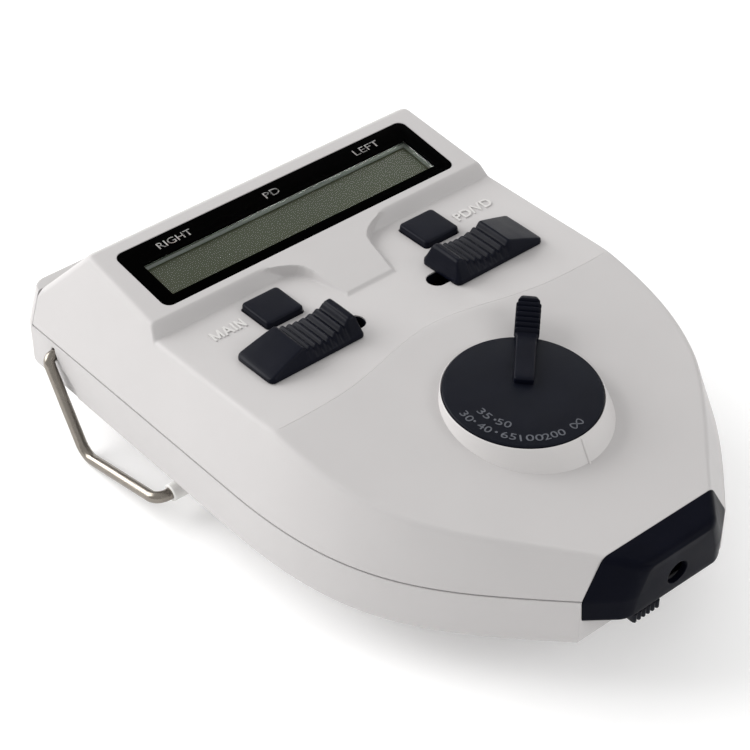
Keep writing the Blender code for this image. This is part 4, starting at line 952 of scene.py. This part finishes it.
# ------------------------------------------------------------------ materials of the CAD nodes that stay
KEEP = {
    WINDOW: ["display_window"],
    LENS: ["eyepiece_lens", "beam_splitter", "collimating_lens", "rear_window_left", "rear_window_right", "focus_lens"],
    CELLGLASS: ["lcd_panel"], PCB: ["main_board"], RUBBER: ["nose_pad", "left_foot", "right_foot"],
    BRASS: ["scale_strip", "front_contact", "rear_contact"], JACKET: ["inner_cell", "outer_cell"], AMBER: ["fixation_lamp"],
    STEEL: ["slide_rod", "left_hairline", "right_hairline", "dial_shaft", "left_lens_rail", "right_lens_rail", "case_screw_1", "case_screw_2", "case_screw_3", "case_screw_4"],
    WHITE: ["focus_cam", "left_bail_bushing", "right_bail_bushing"],
    BODY: ["battery_door"],
    BLACK: ["battery_lead", "left_switch", "right_switch", "eyepiece_tube", "lamp_holder", "left_carriage", "right_carriage", "lens_carriage", "occluder_shutter"],
}
for mat, names in KEEP.items():
    for name in names:
        node = frame["nodes"][name]
        if not node.material_slots:
            node.data.materials.append(mat)
        for s in node.material_slots:
            s.material = mat

# ------------------------------------------------------------------ stage and light
floor_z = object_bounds()[0][2]
mesh = bpy.data.meshes.new("floor")
rad, wall_y = 0.9, 2.6
pts, faces = [], []
prof = [(-3.0, 0.0), (wall_y - rad, 0.0)] + [(wall_y - rad + rad * math.sin(math.radians(a)), rad - rad * math.cos(math.radians(a))) for a in range(10, 91, 10)] + [(wall_y, 4.0)]
dirv = np.array([math.sin(AZ), math.cos(AZ)])
sidev = np.array([dirv[1], -dirv[0]])
for d, h in prof:
    for s in (-5.0, 5.0):
        q = dirv * d + sidev * s
        pts.append((q[0], q[1], h - 0.00005 + floor_z))
for i in range(len(prof) - 1):
    faces.append((2 * i, 2 * i + 1, 2 * i + 3, 2 * i + 2))
mesh.from_pydata(pts, [], faces)
floor = bpy.data.objects.new("floor", mesh)
bpy.context.scene.collection.objects.link(floor)
for poly in mesh.polygons:
    poly.use_smooth = True
FLOOR = material("floor_paper", (0.97, 0.97, 0.97), 0.9, grain=(300, 0.05, 0.05), mottle=(6, 0.004))
FLOOR.node_tree.nodes["Principled BSDF"].inputs["Emission Color"].default_value = (1.0, 1.0, 1.0, 1)
FLOOR.node_tree.nodes["Principled BSDF"].inputs["Emission Strength"].default_value = 0.10
mesh.materials.append(FLOOR)

world = bpy.data.worlds.new("studio")
world.use_nodes = True
world.node_tree.nodes["Background"].inputs["Color"].default_value = (1.0, 0.995, 0.99, 1)
world.node_tree.nodes["Background"].inputs["Strength"].default_value = 0.72
bpy.context.scene.world = world
bpy.context.scene.view_settings.view_transform = "Standard"
bpy.context.scene.view_settings.look = "None"


def softbox(name, at, aim, size, watts, colour=(1, 1, 1)):
    data = bpy.data.lights.new(name, "AREA")
    data.shape = "RECTANGLE"
    data.size, data.size_y = size
    data.energy = watts
    data.color = colour
    obj = bpy.data.objects.new(name, data)
    bpy.context.scene.collection.objects.link(obj)
    obj.location = Vector(at)
    obj.rotation_mode = "QUATERNION"
    obj.rotation_quaternion = (Vector(aim) - Vector(at)).to_track_quat("-Z", "Y")


softbox("key", (-0.92, 1.40, 0.95), (0, 0, 0.03), (1.7, 1.3), 40.0, (1.0, 0.996, 0.992))
softbox("fill", (0.9, -1.7, 1.3), (0, 0, 0.03), (1.2, 1.0), 11.0, (1.0, 1.0, 1.0))
